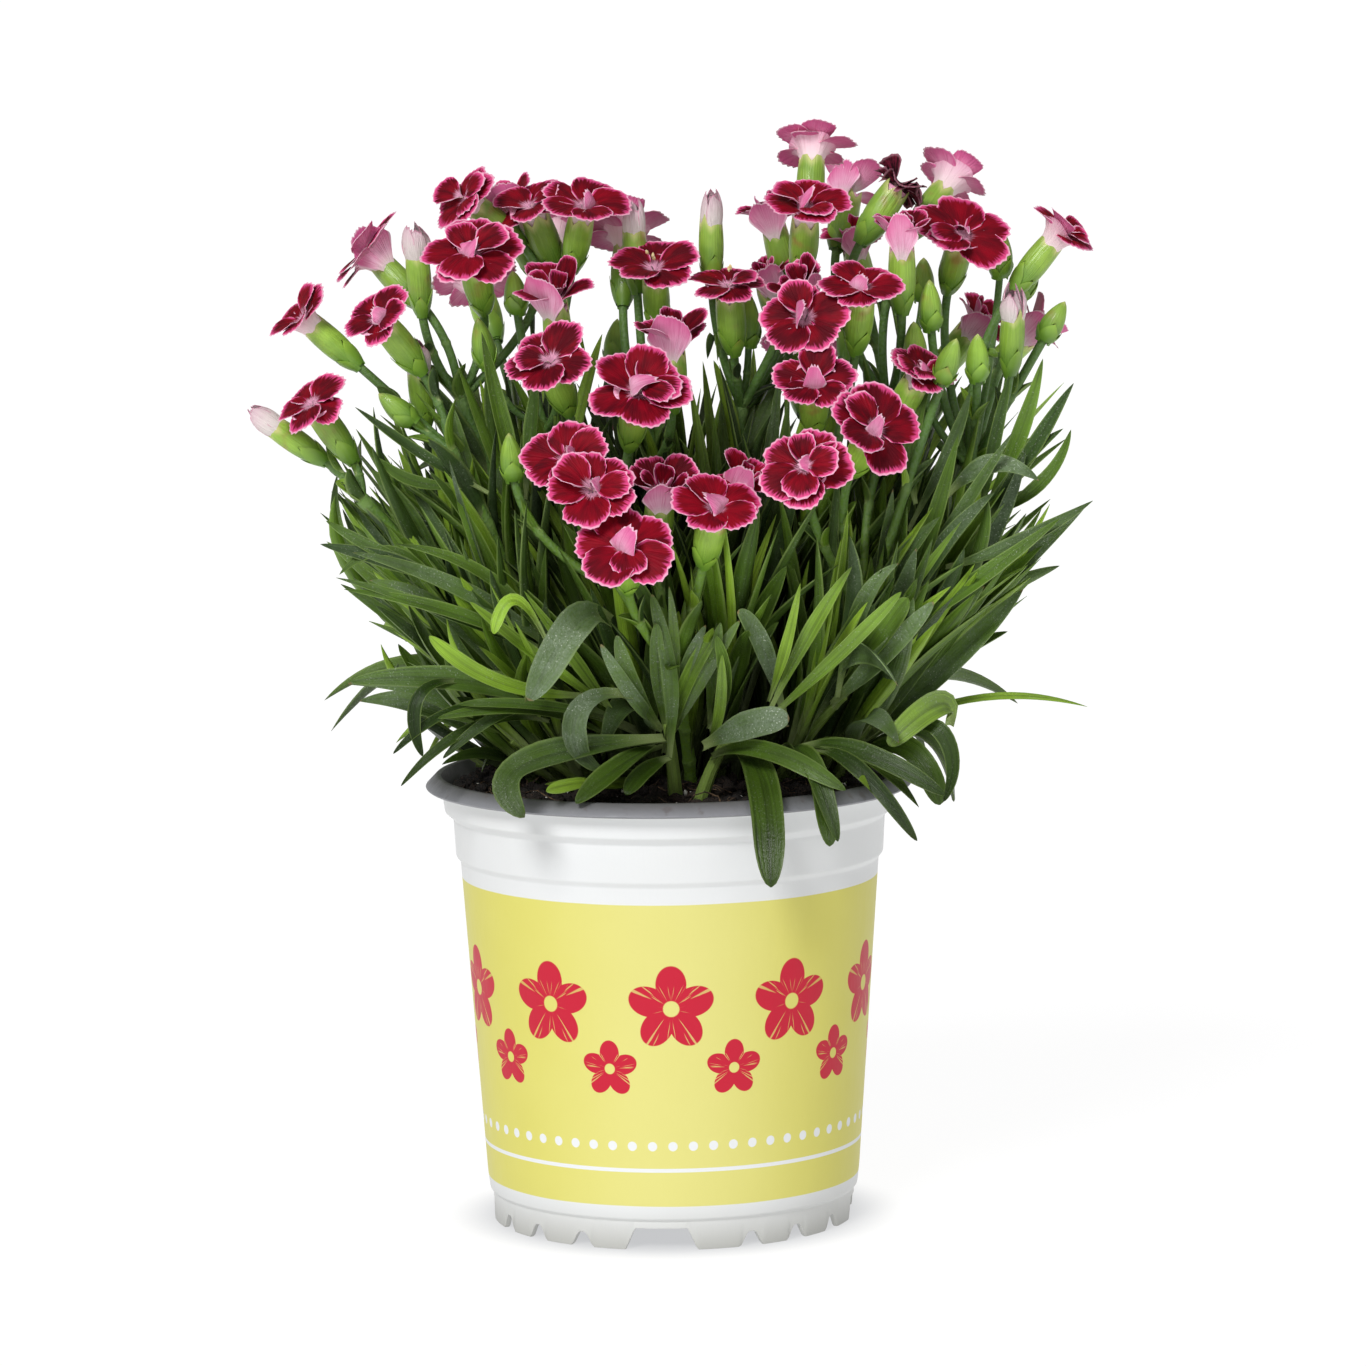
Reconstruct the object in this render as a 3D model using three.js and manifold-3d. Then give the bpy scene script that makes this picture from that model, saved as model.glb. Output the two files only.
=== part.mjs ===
// A flowering dianthus in its nursery pot. Lengths are in millimetres and +Z is up. The origin is the middle of the
// pot's base on the surface that it stands on, and -Y is the front.
//
// A direction is given by two angles in degrees: the first turns from the front (0) to the right (90), and the second
// rises from level (0) to straight up (90).
import * as THREE from "three";
import { mergeVertices } from "three/addons/utils/BufferGeometryUtils.js";
import Module from "manifold-3d";

const wasm = await Module();
wasm.setup();

// ---- Driving dimensions -------------------------------------------------------------------------------------------

const GAP = 0.3; // between two pieces that touch

const POT_HEIGHT = 111;
const POT_SEGMENTS = 32;
const LIP_RADIUS = 60;
const FLOOR_TOP = 8.6;
const FLOOR_BOTTOM = 7.2;
const FOOT_RADIUS = 44.7;
const FOOT_WALL = 1.4;
const FOOT_TURN = -4; // the first big foot gap, left of the front
const FOOT_GAP = { width: 17.6, top: 12.9, height: 5.3 };
const FOOT_NOTCH = { width: 6, top: 2, height: 3.6 };
const NOTCH_TURNS = [29, 46, 64]; // small notches after each big gap
const DRAIN_HOLE_RADIUS = 4;
const DRAIN_HOLES = 6;
const DRAIN_RING_RADIUS = 28;

const SOIL_EDGE = 104.5;
const SOIL_MIDDLE = 108;
const ROOT_DEPTH = 5; // how far a stem's foot stands in the soil
const ROOT_BOTTOM = SOIL_EDGE - ROOT_DEPTH;

const STEM_RADIUS = 1.6;
const BRANCH_RADIUS = 1.1;
const SHOOT_RADIUS = 2.2;
const CALYX_LENGTH = 14.5;
const CALYX_RADIUS = 3.9;
const THROAT = 4.2; // from the calyx's mouth to the flat of the petals
const NECK_RADIUS = 2.6;
const PETAL_RIM = 0.6;
const CUP_DEPTH = 7;
const BUD_LENGTH = 14;
const BUD_RADIUS = 3.2;
const BLADE_THICKNESS = 1;
const BLADE_CHANNEL = 0.1; // how far a blade's edges rise, as a share of its width
const BLADE_SECTIONS = 3;
const SHOOT_BLADES = { first: 0.45, last: 0.97 }; // where blades start, as a share of their stalk
const STEM_BLADES = { first: 0.5, last: 0.8 };
const PETAL_LOBES = 5;
const TUBE_SIDES = 5; // of stalks, calyxes, cups and buds

// ---- Plant plan ---------------------------------------------------------------------------------------------------

// Each flowering stem stands on its root, forks once, and carries open flowers, half-open cups, buds and leaves.
// open and cups: x, y, z of the petals' middle, turn, rise, radius. buds: x, y, z of the bud's middle, turn, rise.
// leaves: x, y, z of the tip, arch, width.
const STEMS = [
  {
    root: [-28, 8],
    fork: [-74, -9, 180],
    open: [[-86, -10, 204, -75, 55, 10]],
    cups: [[-98, -2, 199, -90, 35, 5]],
    buds: [],
    leaves: [[-71, 12, 191, 4, 5]],
  },
  {
    root: [-23, 3],
    fork: [-52, -14, 192],
    open: [
      [-88, -2, 224, -90, 42, 9.5],
      [-69, -17, 225, -60, 50, 9.5],
    ],
    cups: [],
    buds: [
      [-61, -7, 212, -30, 60],
      [-66, -12, 203, -85, 40],
    ],
    leaves: [[-57, -24, 188, 4, 5]],
  },
  {
    root: [-24, 13],
    fork: [-50, 4, 203],
    open: [
      [-48, 6, 252, -80, 40, 10],
      [-46, -15, 239, -12, 50, 12.5],
      [-71, 10, 238, -115, 42, 12],
    ],
    cups: [[-60, -1, 242, -20, 80, 4.5]],
    buds: [],
    leaves: [
      [-45, 0, 208, 2, 5],
      [-64, 25, 182, 8, 5],
    ],
  },
  {
    root: [-16, 13],
    fork: [-29, 3, 195],
    open: [
      [-32, 4, 250, -40, 60, 11],
      [-19, -1, 250, 20, 60, 11.5],
    ],
    cups: [
      [-38, 18, 247, -60, 60, 9],
      [-26, -20, 229, -10, 68, 9],
    ],
    buds: [[-36, -6, 231, -20, 75]],
    leaves: [
      [-36, 8, 216, 2, 5],
      [-15, 10, 218, 2, 5],
    ],
  },
  {
    root: [2, 12],
    fork: [-3, 3, 188],
    open: [
      [-2, -5, 235, -5, 58, 11.5],
      [-9, 19, 241, 175, 60, 11.5],
    ],
    cups: [[2, -28, 219, 0, 70, 8.5]],
    buds: [[-7, 4, 246, -30, 85]],
    leaves: [
      [9, -12, 206, 2, 5],
      [-12, 16, 200, 3, 5],
    ],
  },
  {
    root: [-2, 7],
    fork: [-15, -22, 160],
    open: [
      [-27, -38, 215, -18, 45, 11],
      [-6, -45, 208, 12, 50, 12.5],
      [-23, -50, 192, -15, 38, 11],
    ],
    cups: [],
    buds: [[-37, -24, 192, -30, 80]],
    leaves: [[-35, -4, 188, 4, 5]],
  },
  {
    root: [6, 3],
    fork: [2, -32, 140],
    open: [
      [-17, -60, 186, -5, 40, 11.5],
      [-9, -68, 173, 0, 38, 12.5],
      [12, -55, 181, 15, 52, 11],
    ],
    cups: [
      [-1, -44, 184, 5, 50, 8],
      [19, -32, 185, 40, 50, 6],
    ],
    buds: [],
    leaves: [[14, -22, 160, 3, 5]],
  },
  {
    root: [10, 10],
    fork: [19, 6, 200],
    open: [
      [37, 0, 266, 170, 62, 10.5],
      [35, -8, 250, 10, 72, 11],
      [16, -10, 231, -10, 68, 10],
    ],
    cups: [
      [27, 15, 246, -60, 75, 5],
      [25, 13, 231, -40, 60, 7],
    ],
    buds: [[12, -2, 249, 0, 85]],
    leaves: [
      [14, 2, 202, 3, 5],
      [28, 8, 205, 2, 5],
    ],
  },
  {
    root: [33, 13],
    fork: [55, 14, 200],
    open: [[71, 20, 254, 130, 45, 10]],
    cups: [
      [47, 30, 252, 160, 50, 8],
      [59, 9, 255, 100, 55, 7],
      [58, -14, 242, 0, 82, 7],
      [47, 19, 240, -30, 65, 6],
    ],
    buds: [],
    leaves: [
      [73, 17, 200, 4, 5],
      [45, 22, 205, 2, 5],
    ],
  },
  {
    root: [29, 10],
    fork: [36, -4, 172],
    open: [
      [48, -25, 231, 10, 62, 11],
      [34, -30, 224, -8, 35, 11],
      [36, -38, 209, 0, 42, 10.5],
    ],
    cups: [[33, -16, 230, -30, 45, 7]],
    buds: [],
    leaves: [
      [22, 8, 190, 2, 5],
      [44, 2, 190, 2, 6],
    ],
  },
  {
    root: [33, 7],
    fork: [48, -24, 150],
    open: [
      [50, -45, 198, 22, 38, 12.5],
      [33, -56, 190, -5, 32, 11.5],
      [62, -21, 210, 35, 50, 9],
    ],
    cups: [],
    buds: [[69, -26, 214, 45, 65]],
    leaves: [
      [60, -16, 184, 3, 6],
      [66, -32, 176, 4, 6],
    ],
  },
  {
    root: [37, 11],
    fork: [75, 0, 185],
    open: [
      [73, -5, 242, 15, 50, 12.5],
      [97, 0, 242, 100, 50, 9.5],
    ],
    cups: [
      [78, 25, 219, 60, 50, 7],
      [92, 18, 217, 90, 40, 6],
      [85, -14, 226, 10, 75, 4],
    ],
    buds: [
      [90, 10, 232, 60, 70],
      [65, -8, 226, -10, 80],
      [76, -16, 214, 0, 75],
      [96, -4, 222, 80, 60],
    ],
    leaves: [
      [99, 8, 191, 3, 5],
      [99, 18, 204, 3, 5],
      [84, 14, 208, 2, 5],
    ],
  },
  {
    root: [-10, 18],
    fork: [-30, 36, 170],
    open: [
      [-47, 47, 229, -155, 50, 11],
      [-27, 44, 241, 175, 60, 11],
    ],
    cups: [[-30, 58, 203, 170, 45, 8]],
    buds: [[-12, 44, 215, 160, 75]],
    leaves: [[-50, 50, 180, 6, 6]],
  },
  {
    root: [24, 18],
    fork: [35, 38, 165],
    open: [
      [35, 55, 209, 180, 50, 11],
      [54, 50, 190, 140, 45, 11],
      [-6, 52, 197, -170, 45, 11],
    ],
    cups: [[50, 46, 225, 150, 60, 7]],
    buds: [[66, 40, 205, 120, 65]],
    leaves: [[62, 48, 170, 6, 6]],
  },
];

// Each leaf shoot is a short leafy stalk from its root to its top, with blades that start along it from the bottom up.
// blades: x, y, z of the tip, arch, width.
const SHOOTS = [
  {
    root: [-31, 4],
    top: [-39, 0, 121],
    blades: [
      [-55, -22, 116, 9, 5],
      [-76, 0, 129, 12, 7],
      [-78, -14, 135, 13, 8.5],
      [-56, -33, 129, 7, 5],
      [-51, -26, 133, 5, 5],
      [-70, -30, 156, 6, 4.5],
      [-79, -18, 160, 6, 5],
    ],
  },
  {
    root: [-30, 12],
    top: [-50, 9, 138],
    blades: [
      [-78, 13, 160, 6, 8],
      [-83, -4, 169, 6, 5],
      [-85, 7, 175, 7, 5.5],
      [-83, 20, 179, 8, 6],
      [-79, -8, 184, 10, 6],
      [-71, -21, 188, 12, 6],
    ],
  },
  {
    root: [-19, -1],
    top: [-33, -14, 130],
    blades: [
      [-34, -46, 134, 30, 9],
      [-45, -40, 147, 4, 5],
      [-36, -50, 154, 4, 6],
      [-71, -38, 163, 16, 7],
      [-42, -46, 163, 4, 6],
      [-29, -40, 158, 3, 5],
      [-50, -30, 181, 6, 6],
    ],
  },
  {
    root: [-2, 1],
    top: [-5, -6, 117],
    blades: [
      [-30, -30, 112, 2, 5],
      [-22, -42, 114, 3, 7],
      [-34, -55, 118, 12, 9],
      [-16, -40, 120, 26, 7],
      [-14, -15, 146, 3, 4.5],
      [-1, -31, 158, 4, 6],
    ],
  },
  {
    root: [12, 4],
    top: [13, -12, 126],
    blades: [
      [29, -42, 127, 5, 9],
      [18, -32, 144, 8, 7],
      [12, -33, 151, 5, 6],
      [21, -27, 156, 4, 6],
      [27, -31, 151, 6, 6],
      [29, -36, 165, 4, 6],
      [6, -36, 165, 4, 5],
    ],
  },
  {
    root: [28, 3],
    top: [33, -12, 122],
    blades: [
      [24, -67, 92, 34, 9.5],
      [38, -63, 101, 26, 6.5],
      [48, -54, 113, 14, 6],
      [60, -42, 107, 16, 5.5],
      [55, -46, 137, 30, 9],
      [48, -45, 157, 5, 6.5],
      [42, -42, 172, 5, 6],
    ],
  },
  {
    root: [39, 5],
    top: [50, -2, 122],
    blades: [
      [66, -18, 104, 26, 7],
      [70, -6, 103, 26, 7],
      [55, -52, 124, 16, 8],
      [103, -5, 126, 12, 3],
      [87, -12, 156, 1, 8.5],
      [77, -22, 158, 3, 8],
    ],
  },
  {
    root: [41, 12],
    top: [56, 4, 136],
    blades: [
      [59, -45, 158, 3, 7],
      [60, -38, 169, 3, 7],
      [104, 6, 175, 3, 8],
      [89, -15, 181, 16, 6],
      [82, -24, 182, 4, 6],
      [55, -24, 182, 3, 7],
    ],
  },
  {
    root: [-24, 19],
    top: [-40, 28, 130],
    blades: [
      [-61, 24, 111, 26, 5],
      [-69, 41, 113, 18, 4.5],
      [-85, 35, 117, 34, 7],
      [-55, 70, 116, 26, 7],
      [-86, 26, 126, 22, 5],
      [-36, 76, 134, 16, 7],
      [-66, 58, 150, 10, 7],
      [-78, 31, 178, 8, 6],
    ],
  },
  {
    root: [4, 19],
    top: [3, 32, 132],
    blades: [
      [-12, 72, 106, 28, 8],
      [22, 76, 118, 22, 8],
      [4, 78, 136, 14, 7],
      [-22, 66, 158, 6, 7],
      [20, 68, 164, 5, 7],
      [2, 58, 180, 4, 6],
    ],
  },
  {
    root: [35, 18],
    top: [48, 28, 130],
    blades: [
      [66, 60, 106, 26, 7],
      [88, 34, 122, 20, 7],
      [44, 77, 126, 20, 8],
      [84, 52, 146, 10, 7],
      [60, 66, 160, 6, 7],
      [98, 22, 158, 8, 6],
      [78, 36, 180, 4, 6],
    ],
  },
];

// ---- Finishes -----------------------------------------------------------------------------------------------------

function finish(color, roughness) {
  return new THREE.MeshStandardMaterial({ color, roughness, metalness: 0 });
}

const POT_PLASTIC = finish(0xf2f2f0, 0.45);
const PEAT = finish(0x2a1d17, 0.95);
const LEAF_GREEN = finish(0x3f6b34, 0.6);
const STEM_GREEN = finish(0x7fae4a, 0.55);
const PETAL_CRIMSON = finish(0xa3123a, 0.6);

// ---- Solids -------------------------------------------------------------------------------------------------------

function solidOf(geometry) {
  const bare = new THREE.BufferGeometry();
  bare.setAttribute("position", geometry.getAttribute("position"));
  bare.setIndex(geometry.index);
  const merged = mergeVertices(bare, 1e-4);
  return new wasm.Manifold(
    new wasm.Mesh({
      numProp: 3,
      vertProperties: merged.attributes.position.array,
      triVerts: new Uint32Array(merged.index.array),
    }),
  );
}

function geometryOf(solid) {
  const mesh = solid.getMesh();
  const geometry = new THREE.BufferGeometry();
  geometry.setAttribute("position", new THREE.BufferAttribute(mesh.vertProperties, 3));
  geometry.setIndex(new THREE.BufferAttribute(mesh.triVerts, 1));
  geometry.computeVertexNormals();
  return geometry;
}

function joined(solids) {
  return solids.reduce((whole, piece) => whole.add(piece));
}

function largestBody(solid) {
  return solid.decompose().reduce((a, b) => (a.volume() > b.volume() ? a : b));
}

function boxesMeet(a, b) {
  const boxA = a.boundingBox();
  const boxB = b.boundingBox();
  return [0, 1, 2].every((k) => boxA.min[k] < boxB.max[k] && boxB.min[k] < boxA.max[k]);
}

function overlaps(a, b) {
  return boxesMeet(a, b) && a.intersect(b).volume() > 1e-6;
}

function vector(x, y, z) {
  return new THREE.Vector3(x, y, z);
}

function direction(turn, rise) {
  const a = THREE.MathUtils.degToRad(turn);
  const e = THREE.MathUtils.degToRad(rise);
  return vector(Math.sin(a) * Math.cos(e), -Math.cos(a) * Math.cos(e), Math.sin(e));
}

// A body of revolution about `axis` through `origin`, from points of (radius, height along the axis).
function turned(profile, segments, origin, axis) {
  const points = profile.map(([radius, height]) => new THREE.Vector2(radius, height));
  const geometry = new THREE.LatheGeometry(points, segments);
  const turn = new THREE.Quaternion().setFromUnitVectors(vector(0, 1, 0), axis);
  geometry.applyMatrix4(new THREE.Matrix4().makeRotationFromQuaternion(turn).setPosition(origin));
  return geometry;
}

// A round rod of `sides` sides along a curve.
function rod(curve, radius, sides, steps) {
  const corners = Array.from({ length: sides }, (_, k) => {
    const a = (2 * Math.PI * k) / sides;
    return new THREE.Vector2(radius * Math.cos(a), radius * Math.sin(a));
  });
  return new THREE.ExtrudeGeometry(new THREE.Shape(corners), { steps, extrudePath: curve });
}

// ---- Pot ----------------------------------------------------------------------------------------------------------

const UP = vector(0, 0, 1);
const BASE = vector(0, 0, 0);

// Outside of the shell from the foot up to the lip, then the inside down to the floor.
const POT_OUTSIDE = [
  [FOOT_RADIUS, 0],
  [FOOT_RADIUS, 7],
  [45.6, 7.8],
  [51.4, 87],
  [51.6, 89.6],
  [52.7, 91.4],
  [53.2, 100.6],
  [55.4, 102.6],
  [55.9, 106.9],
  [LIP_RADIUS, 107.6],
  [LIP_RADIUS, 108.4],
  [57, POT_HEIGHT],
];
const POT_INSIDE = [
  [55.6, POT_HEIGHT - 0.4],
  [54.4, 105.6],
  [52.1, 100.4],
  [50.4, 89],
  [44.4, FLOOR_TOP],
];

function insideRadius(z) {
  const lower = POT_INSIDE[4];
  const upper = POT_INSIDE[3];
  if (z <= upper[1]) {
    return lower[0] + ((upper[0] - lower[0]) * (z - lower[1])) / (upper[1] - lower[1]);
  }
  const top = POT_INSIDE[2];
  const mid = Math.min(z, top[1]);
  return upper[0] + ((top[0] - upper[0]) * (mid - upper[1])) / (top[1] - upper[1]);
}

// A wedge that reaches through the foot ring at `turn` degrees from the front.
function footCut({ width, top, height }, turn) {
  const below = 1;
  const outline = new THREE.Shape([
    new THREE.Vector2(-width / 2, -below),
    new THREE.Vector2(width / 2, -below),
    new THREE.Vector2(top / 2, height),
    new THREE.Vector2(-top / 2, height),
  ]);
  const reach = 8;
  const cut = new THREE.ExtrudeGeometry(outline, { depth: reach, bevelEnabled: false });
  cut.translate(0, 0, FOOT_RADIUS - reach + 2);
  cut.rotateX(Math.PI / 2);
  cut.rotateZ(THREE.MathUtils.degToRad(turn));
  return solidOf(cut);
}

function drainHole(k) {
  const a = (2 * Math.PI * (k + 0.5)) / DRAIN_HOLES;
  const hole = new THREE.CylinderGeometry(DRAIN_HOLE_RADIUS, DRAIN_HOLE_RADIUS, 6, 10);
  hole.rotateX(Math.PI / 2);
  hole.translate(DRAIN_RING_RADIUS * Math.sin(a), -DRAIN_RING_RADIUS * Math.cos(a), FLOOR_BOTTOM + 1);
  return solidOf(hole);
}

function makePot() {
  const profile = [
    [0, FLOOR_BOTTOM],
    [FOOT_RADIUS - FOOT_WALL, FLOOR_BOTTOM],
    [FOOT_RADIUS - FOOT_WALL, 0],
    ...POT_OUTSIDE,
    ...POT_INSIDE,
    [0, FLOOR_TOP],
  ];
  let pot = solidOf(turned(profile, POT_SEGMENTS, BASE, UP));
  for (const quarter of [0, 90, 180, 270]) {
    const start = FOOT_TURN + quarter;
    pot = pot.subtract(footCut(FOOT_GAP, start));
    for (const turn of NOTCH_TURNS) {
      pot = pot.subtract(footCut(FOOT_NOTCH, start + turn));
    }
  }
  for (let k = 0; k < DRAIN_HOLES; k += 1) {
    pot = pot.subtract(drainHole(k));
  }
  return pot;
}

// ---- Soil ---------------------------------------------------------------------------------------------------------

function makeSoil(stalks) {
  const floor = FLOOR_TOP + GAP;
  const shoulder = POT_INSIDE[3][1];
  const profile = [
    [0, floor],
    [insideRadius(floor) - GAP, floor],
    [insideRadius(shoulder) - GAP, shoulder],
    [insideRadius(SOIL_EDGE) - GAP, POT_INSIDE[2][1]],
    [insideRadius(SOIL_EDGE) - GAP, SOIL_EDGE],
    [25, SOIL_EDGE + 2.4],
    [0, SOIL_MIDDLE],
  ];
  let soil = solidOf(turned(profile, POT_SEGMENTS, BASE, UP));
  for (const stalkRoom of stalks) {
    soil = soil.subtract(stalkRoom);
  }
  return soil;
}

// ---- Leaves -------------------------------------------------------------------------------------------------------

function archedPath(start, tip, arch) {
  const middle = start.clone().lerp(tip, 0.5);
  middle.z += arch;
  return new THREE.QuadraticBezierCurve3(start, middle, tip);
}

// A blade is a four-sided cone bent along its path: widest before the middle, pointed at the tip, edges raised. Here and
// below, grow thickens a shape all round, to make the room that its neighbours keep clear of.
function blade(path, width, grow = 0) {
  const geometry = new THREE.CylinderGeometry(0, 1, 1, 4, BLADE_SECTIONS);
  const position = geometry.getAttribute("position");
  const start = path.getPoint(0);
  const tip = path.getPoint(1);
  const across = vector(start.y - tip.y, tip.x - start.x, 0).normalize();
  for (let i = 0; i < position.count; i += 1) {
    const t = position.getY(i) + 0.5;
    const spread = Math.hypot(position.getX(i), position.getZ(i));
    const side = spread > 0 ? position.getX(i) / spread : 0;
    const rise = spread > 0 ? position.getZ(i) / spread : 0;
    const shape = t < 1 ? Math.sin(Math.PI * (0.08 + 0.92 * t)) ** 0.6 : 0;
    const normal = path.getTangent(t).cross(across).normalize();
    const half = shape * width * 0.5 + (t < 1 ? grow : 0);
    const thick = shape * BLADE_THICKNESS * 0.5 + (t < 1 ? grow : 0);
    const lift = BLADE_CHANNEL * width * shape * Math.abs(side);
    const point = path.getPoint(t);
    point.addScaledVector(across, side * half);
    point.addScaledVector(normal, -rise * thick - lift);
    position.setXYZ(i, point.x, point.y, point.z);
  }
  return solidOf(geometry);
}

// The place for a blade that stays clear of everything in `others`: its tip is turned a little about its root, or drawn
// in, until it is free. A blade with no free place is left out.
function freeBlade(start, [x, y, z, arch, width], others) {
  const turns = [0, 4, -4, 8, -8, 12, -12, 17, -17, 23, -23];
  const reaches = [1, 0.85, 0.68];
  for (const reach of reaches) {
    for (const turn of turns) {
      const ray = vector(x, y, z).sub(start).multiplyScalar(reach);
      ray.applyAxisAngle(UP, THREE.MathUtils.degToRad(turn));
      const path = archedPath(start, start.clone().add(ray), arch * reach);
      const room = blade(path, width, GAP);
      if (!others.some((other) => overlaps(room, other))) {
        return blade(path, width);
      }
    }
  }
  return null;
}

// ---- Flowers, cups and buds ---------------------------------------------------------------------------------------

// The petals of one open flower: a shallow five-lobed dish on a short neck.
function corolla([x, y, z, turn, rise, radius], grow = 0) {
  const axis = direction(turn, rise);
  const profile = [
    [0, -THROAT + GAP - grow],
    [NECK_RADIUS + grow, -THROAT + GAP - grow],
    [radius + grow, 1 - grow],
    [radius + grow, 1 + PETAL_RIM + grow],
    [0, grow],
  ];
  const lobed = turned(profile, 2 * PETAL_LOBES, BASE, vector(0, 1, 0));
  const position = lobed.getAttribute("position");
  for (let i = 0; i < position.count; i += 1) {
    const spread = Math.hypot(position.getX(i), position.getZ(i));
    const angle = Math.atan2(position.getX(i), position.getZ(i));
    const notch = spread > NECK_RADIUS + 2 ? 0.93 + 0.07 * Math.cos(PETAL_LOBES * angle) : 1;
    position.setX(i, position.getX(i) * notch);
    position.setZ(i, position.getZ(i) * notch);
  }
  const turnTo = new THREE.Quaternion().setFromUnitVectors(vector(0, 1, 0), axis);
  lobed.applyMatrix4(new THREE.Matrix4().makeRotationFromQuaternion(turnTo).setPosition(x, y, z));
  return solidOf(lobed);
}

function calyxBase([x, y, z, turn, rise]) {
  return vector(x, y, z).addScaledVector(direction(turn, rise), -THROAT - CALYX_LENGTH);
}

// The green tube that holds a flower's petals.
function calyx(flower, grow) {
  const profile = [
    [0, -1.5 * grow],
    [CALYX_RADIUS * 0.9 + grow, 4.5],
    [CALYX_RADIUS + grow, CALYX_LENGTH + grow],
    [0, CALYX_LENGTH + grow],
  ];
  return solidOf(turned(profile, TUBE_SIDES, calyxBase(flower), direction(flower[3], flower[4])));
}

// A half-open or faded flower, its petals still standing in the calyx.
function cup(flower, grow) {
  const profile = [
    [0, CALYX_LENGTH - 2],
    [3 + grow, CALYX_LENGTH - 2],
    [flower[5] + grow, CALYX_LENGTH + CUP_DEPTH - grow],
    [0, CALYX_LENGTH + CUP_DEPTH + grow],
  ];
  return solidOf(turned(profile, TUBE_SIDES, calyxBase(flower), direction(flower[3], flower[4])));
}

function budBase([x, y, z, turn, rise]) {
  return vector(x, y, z).addScaledVector(direction(turn, rise), -BUD_LENGTH / 2);
}

function bud(place, grow) {
  const profile = [
    [0, -1.5 * grow],
    [BUD_RADIUS + grow, BUD_LENGTH * 0.35],
    [BUD_RADIUS * 0.85 + grow, BUD_LENGTH * 0.7],
    [0, BUD_LENGTH + grow],
  ];
  return solidOf(turned(profile, TUBE_SIDES, budBase(place), direction(place[3], place[4])));
}

// ---- Stems and shoots ---------------------------------------------------------------------------------------------

// A stalk leaves its root steeply and leans towards its end.
function stalk([x, y], end, deeper = 0) {
  const root = vector(x, y, ROOT_BOTTOM - deeper);
  const tip = vector(...end);
  const bend = vector(
    root.x + 0.35 * (tip.x - root.x),
    root.y + 0.35 * (tip.y - root.y),
    root.z + 0.6 * (tip.z - root.z),
  );
  return new THREE.QuadraticBezierCurve3(root, bend, tip);
}

// A branch leaves the fork and arrives along the axis of what it carries, inside its base.
function branch(fork, end, axis, grow) {
  const start = vector(...fork);
  const seat = end.clone().addScaledVector(axis, 3);
  const bend = end.clone().addScaledVector(axis, -0.45 * start.distanceTo(end));
  const curve = new THREE.QuadraticBezierCurve3(start, bend, seat);
  return solidOf(rod(curve, BRANCH_RADIUS + grow, 4, 2));
}

function stemStalk(root, fork, grow) {
  return solidOf(rod(stalk(root, fork, grow), STEM_RADIUS + grow, TUBE_SIDES, 4));
}

function shootStalk(root, top, grow) {
  return solidOf(rod(stalk(root, top, grow), SHOOT_RADIUS + grow, TUBE_SIDES, 2));
}

function stemPieces({ root, fork, open, cups, buds }, grow) {
  const flowers = [...open, ...cups];
  return [
    stemStalk(root, fork, grow),
    ...flowers.map((f) => branch(fork, calyxBase(f), direction(f[3], f[4]), grow)),
    ...flowers.map((f) => calyx(f, grow)),
    ...cups.map((f) => cup(f, grow)),
    ...buds.map((b) => branch(fork, budBase(b), direction(b[3], b[4]), grow)),
    ...buds.map((b) => bud(b, grow)),
  ];
}

// ---- The plant in its pot -----------------------------------------------------------------------------------------

const nodes = new Map();

function place(name, solid, material) {
  nodes.set(name, { solid, material });
}

function numbered(word, index) {
  return `${word}_${String(index + 1).padStart(2, "0")}`;
}

function othersThan(name) {
  return [...nodes].filter(([key]) => key !== name).map(([, node]) => node.solid);
}

place("pot", makePot(), POT_PLASTIC);
place(
  "soil",
  makeSoil([
    ...STEMS.map(({ root, fork }) => stemStalk(root, fork, GAP)),
    ...SHOOTS.map(({ root, top }) => shootStalk(root, top, GAP)),
  ]),
  PEAT,
);

// The stems keep their places.
STEMS.forEach((stem, index) => {
  place(numbered("flowering_stem", index), joined(stemPieces(stem, 0)), STEM_GREEN);
});

// Petals give way to the stems and to the petals in front of them.
const stemRoom = STEMS.map((stem) => joined(stemPieces(stem, GAP)));
const petalRoom = [];
STEMS.flatMap(({ open }) => open)
  .map((flower, index) => ({ flower, name: numbered("flower", index) }))
  .sort((a, b) => a.flower[1] - b.flower[1])
  .forEach(({ flower, name }) => {
    let petals = corolla(flower);
    for (const room of [...stemRoom, ...petalRoom]) {
      if (boxesMeet(petals, room)) {
        petals = petals.subtract(room);
      }
    }
    petalRoom.push(corolla(flower, GAP));
    place(name, largestBody(petals), PETAL_CRIMSON);
  });

// Leaves find room between what is there already.
SHOOTS.forEach(({ root, top }, index) => {
  place(numbered("leaf_shoot", index), shootStalk(root, top, 0), LEAF_GREEN);
});

function addBlades(name, path, tips, { first, last }) {
  const node = nodes.get(name);
  const others = othersThan(name);
  tips.forEach((tip, k) => {
    const t = first + ((last - first) * k) / Math.max(1, tips.length - 1);
    const start = path.getPoint(t);
    const outward = vector(tip[0] - start.x, tip[1] - start.y, 0).normalize();
    start.add(outward);
    const leaf = freeBlade(start, tip, others);
    if (leaf) {
      node.solid = node.solid.add(leaf);
    }
  });
}

SHOOTS.forEach(({ root, top, blades }, index) => {
  addBlades(numbered("leaf_shoot", index), stalk(root, top), blades, SHOOT_BLADES);
});
STEMS.forEach(({ root, fork, leaves }, index) => {
  addBlades(numbered("flowering_stem", index), stalk(root, fork), leaves, STEM_BLADES);
});

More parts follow.
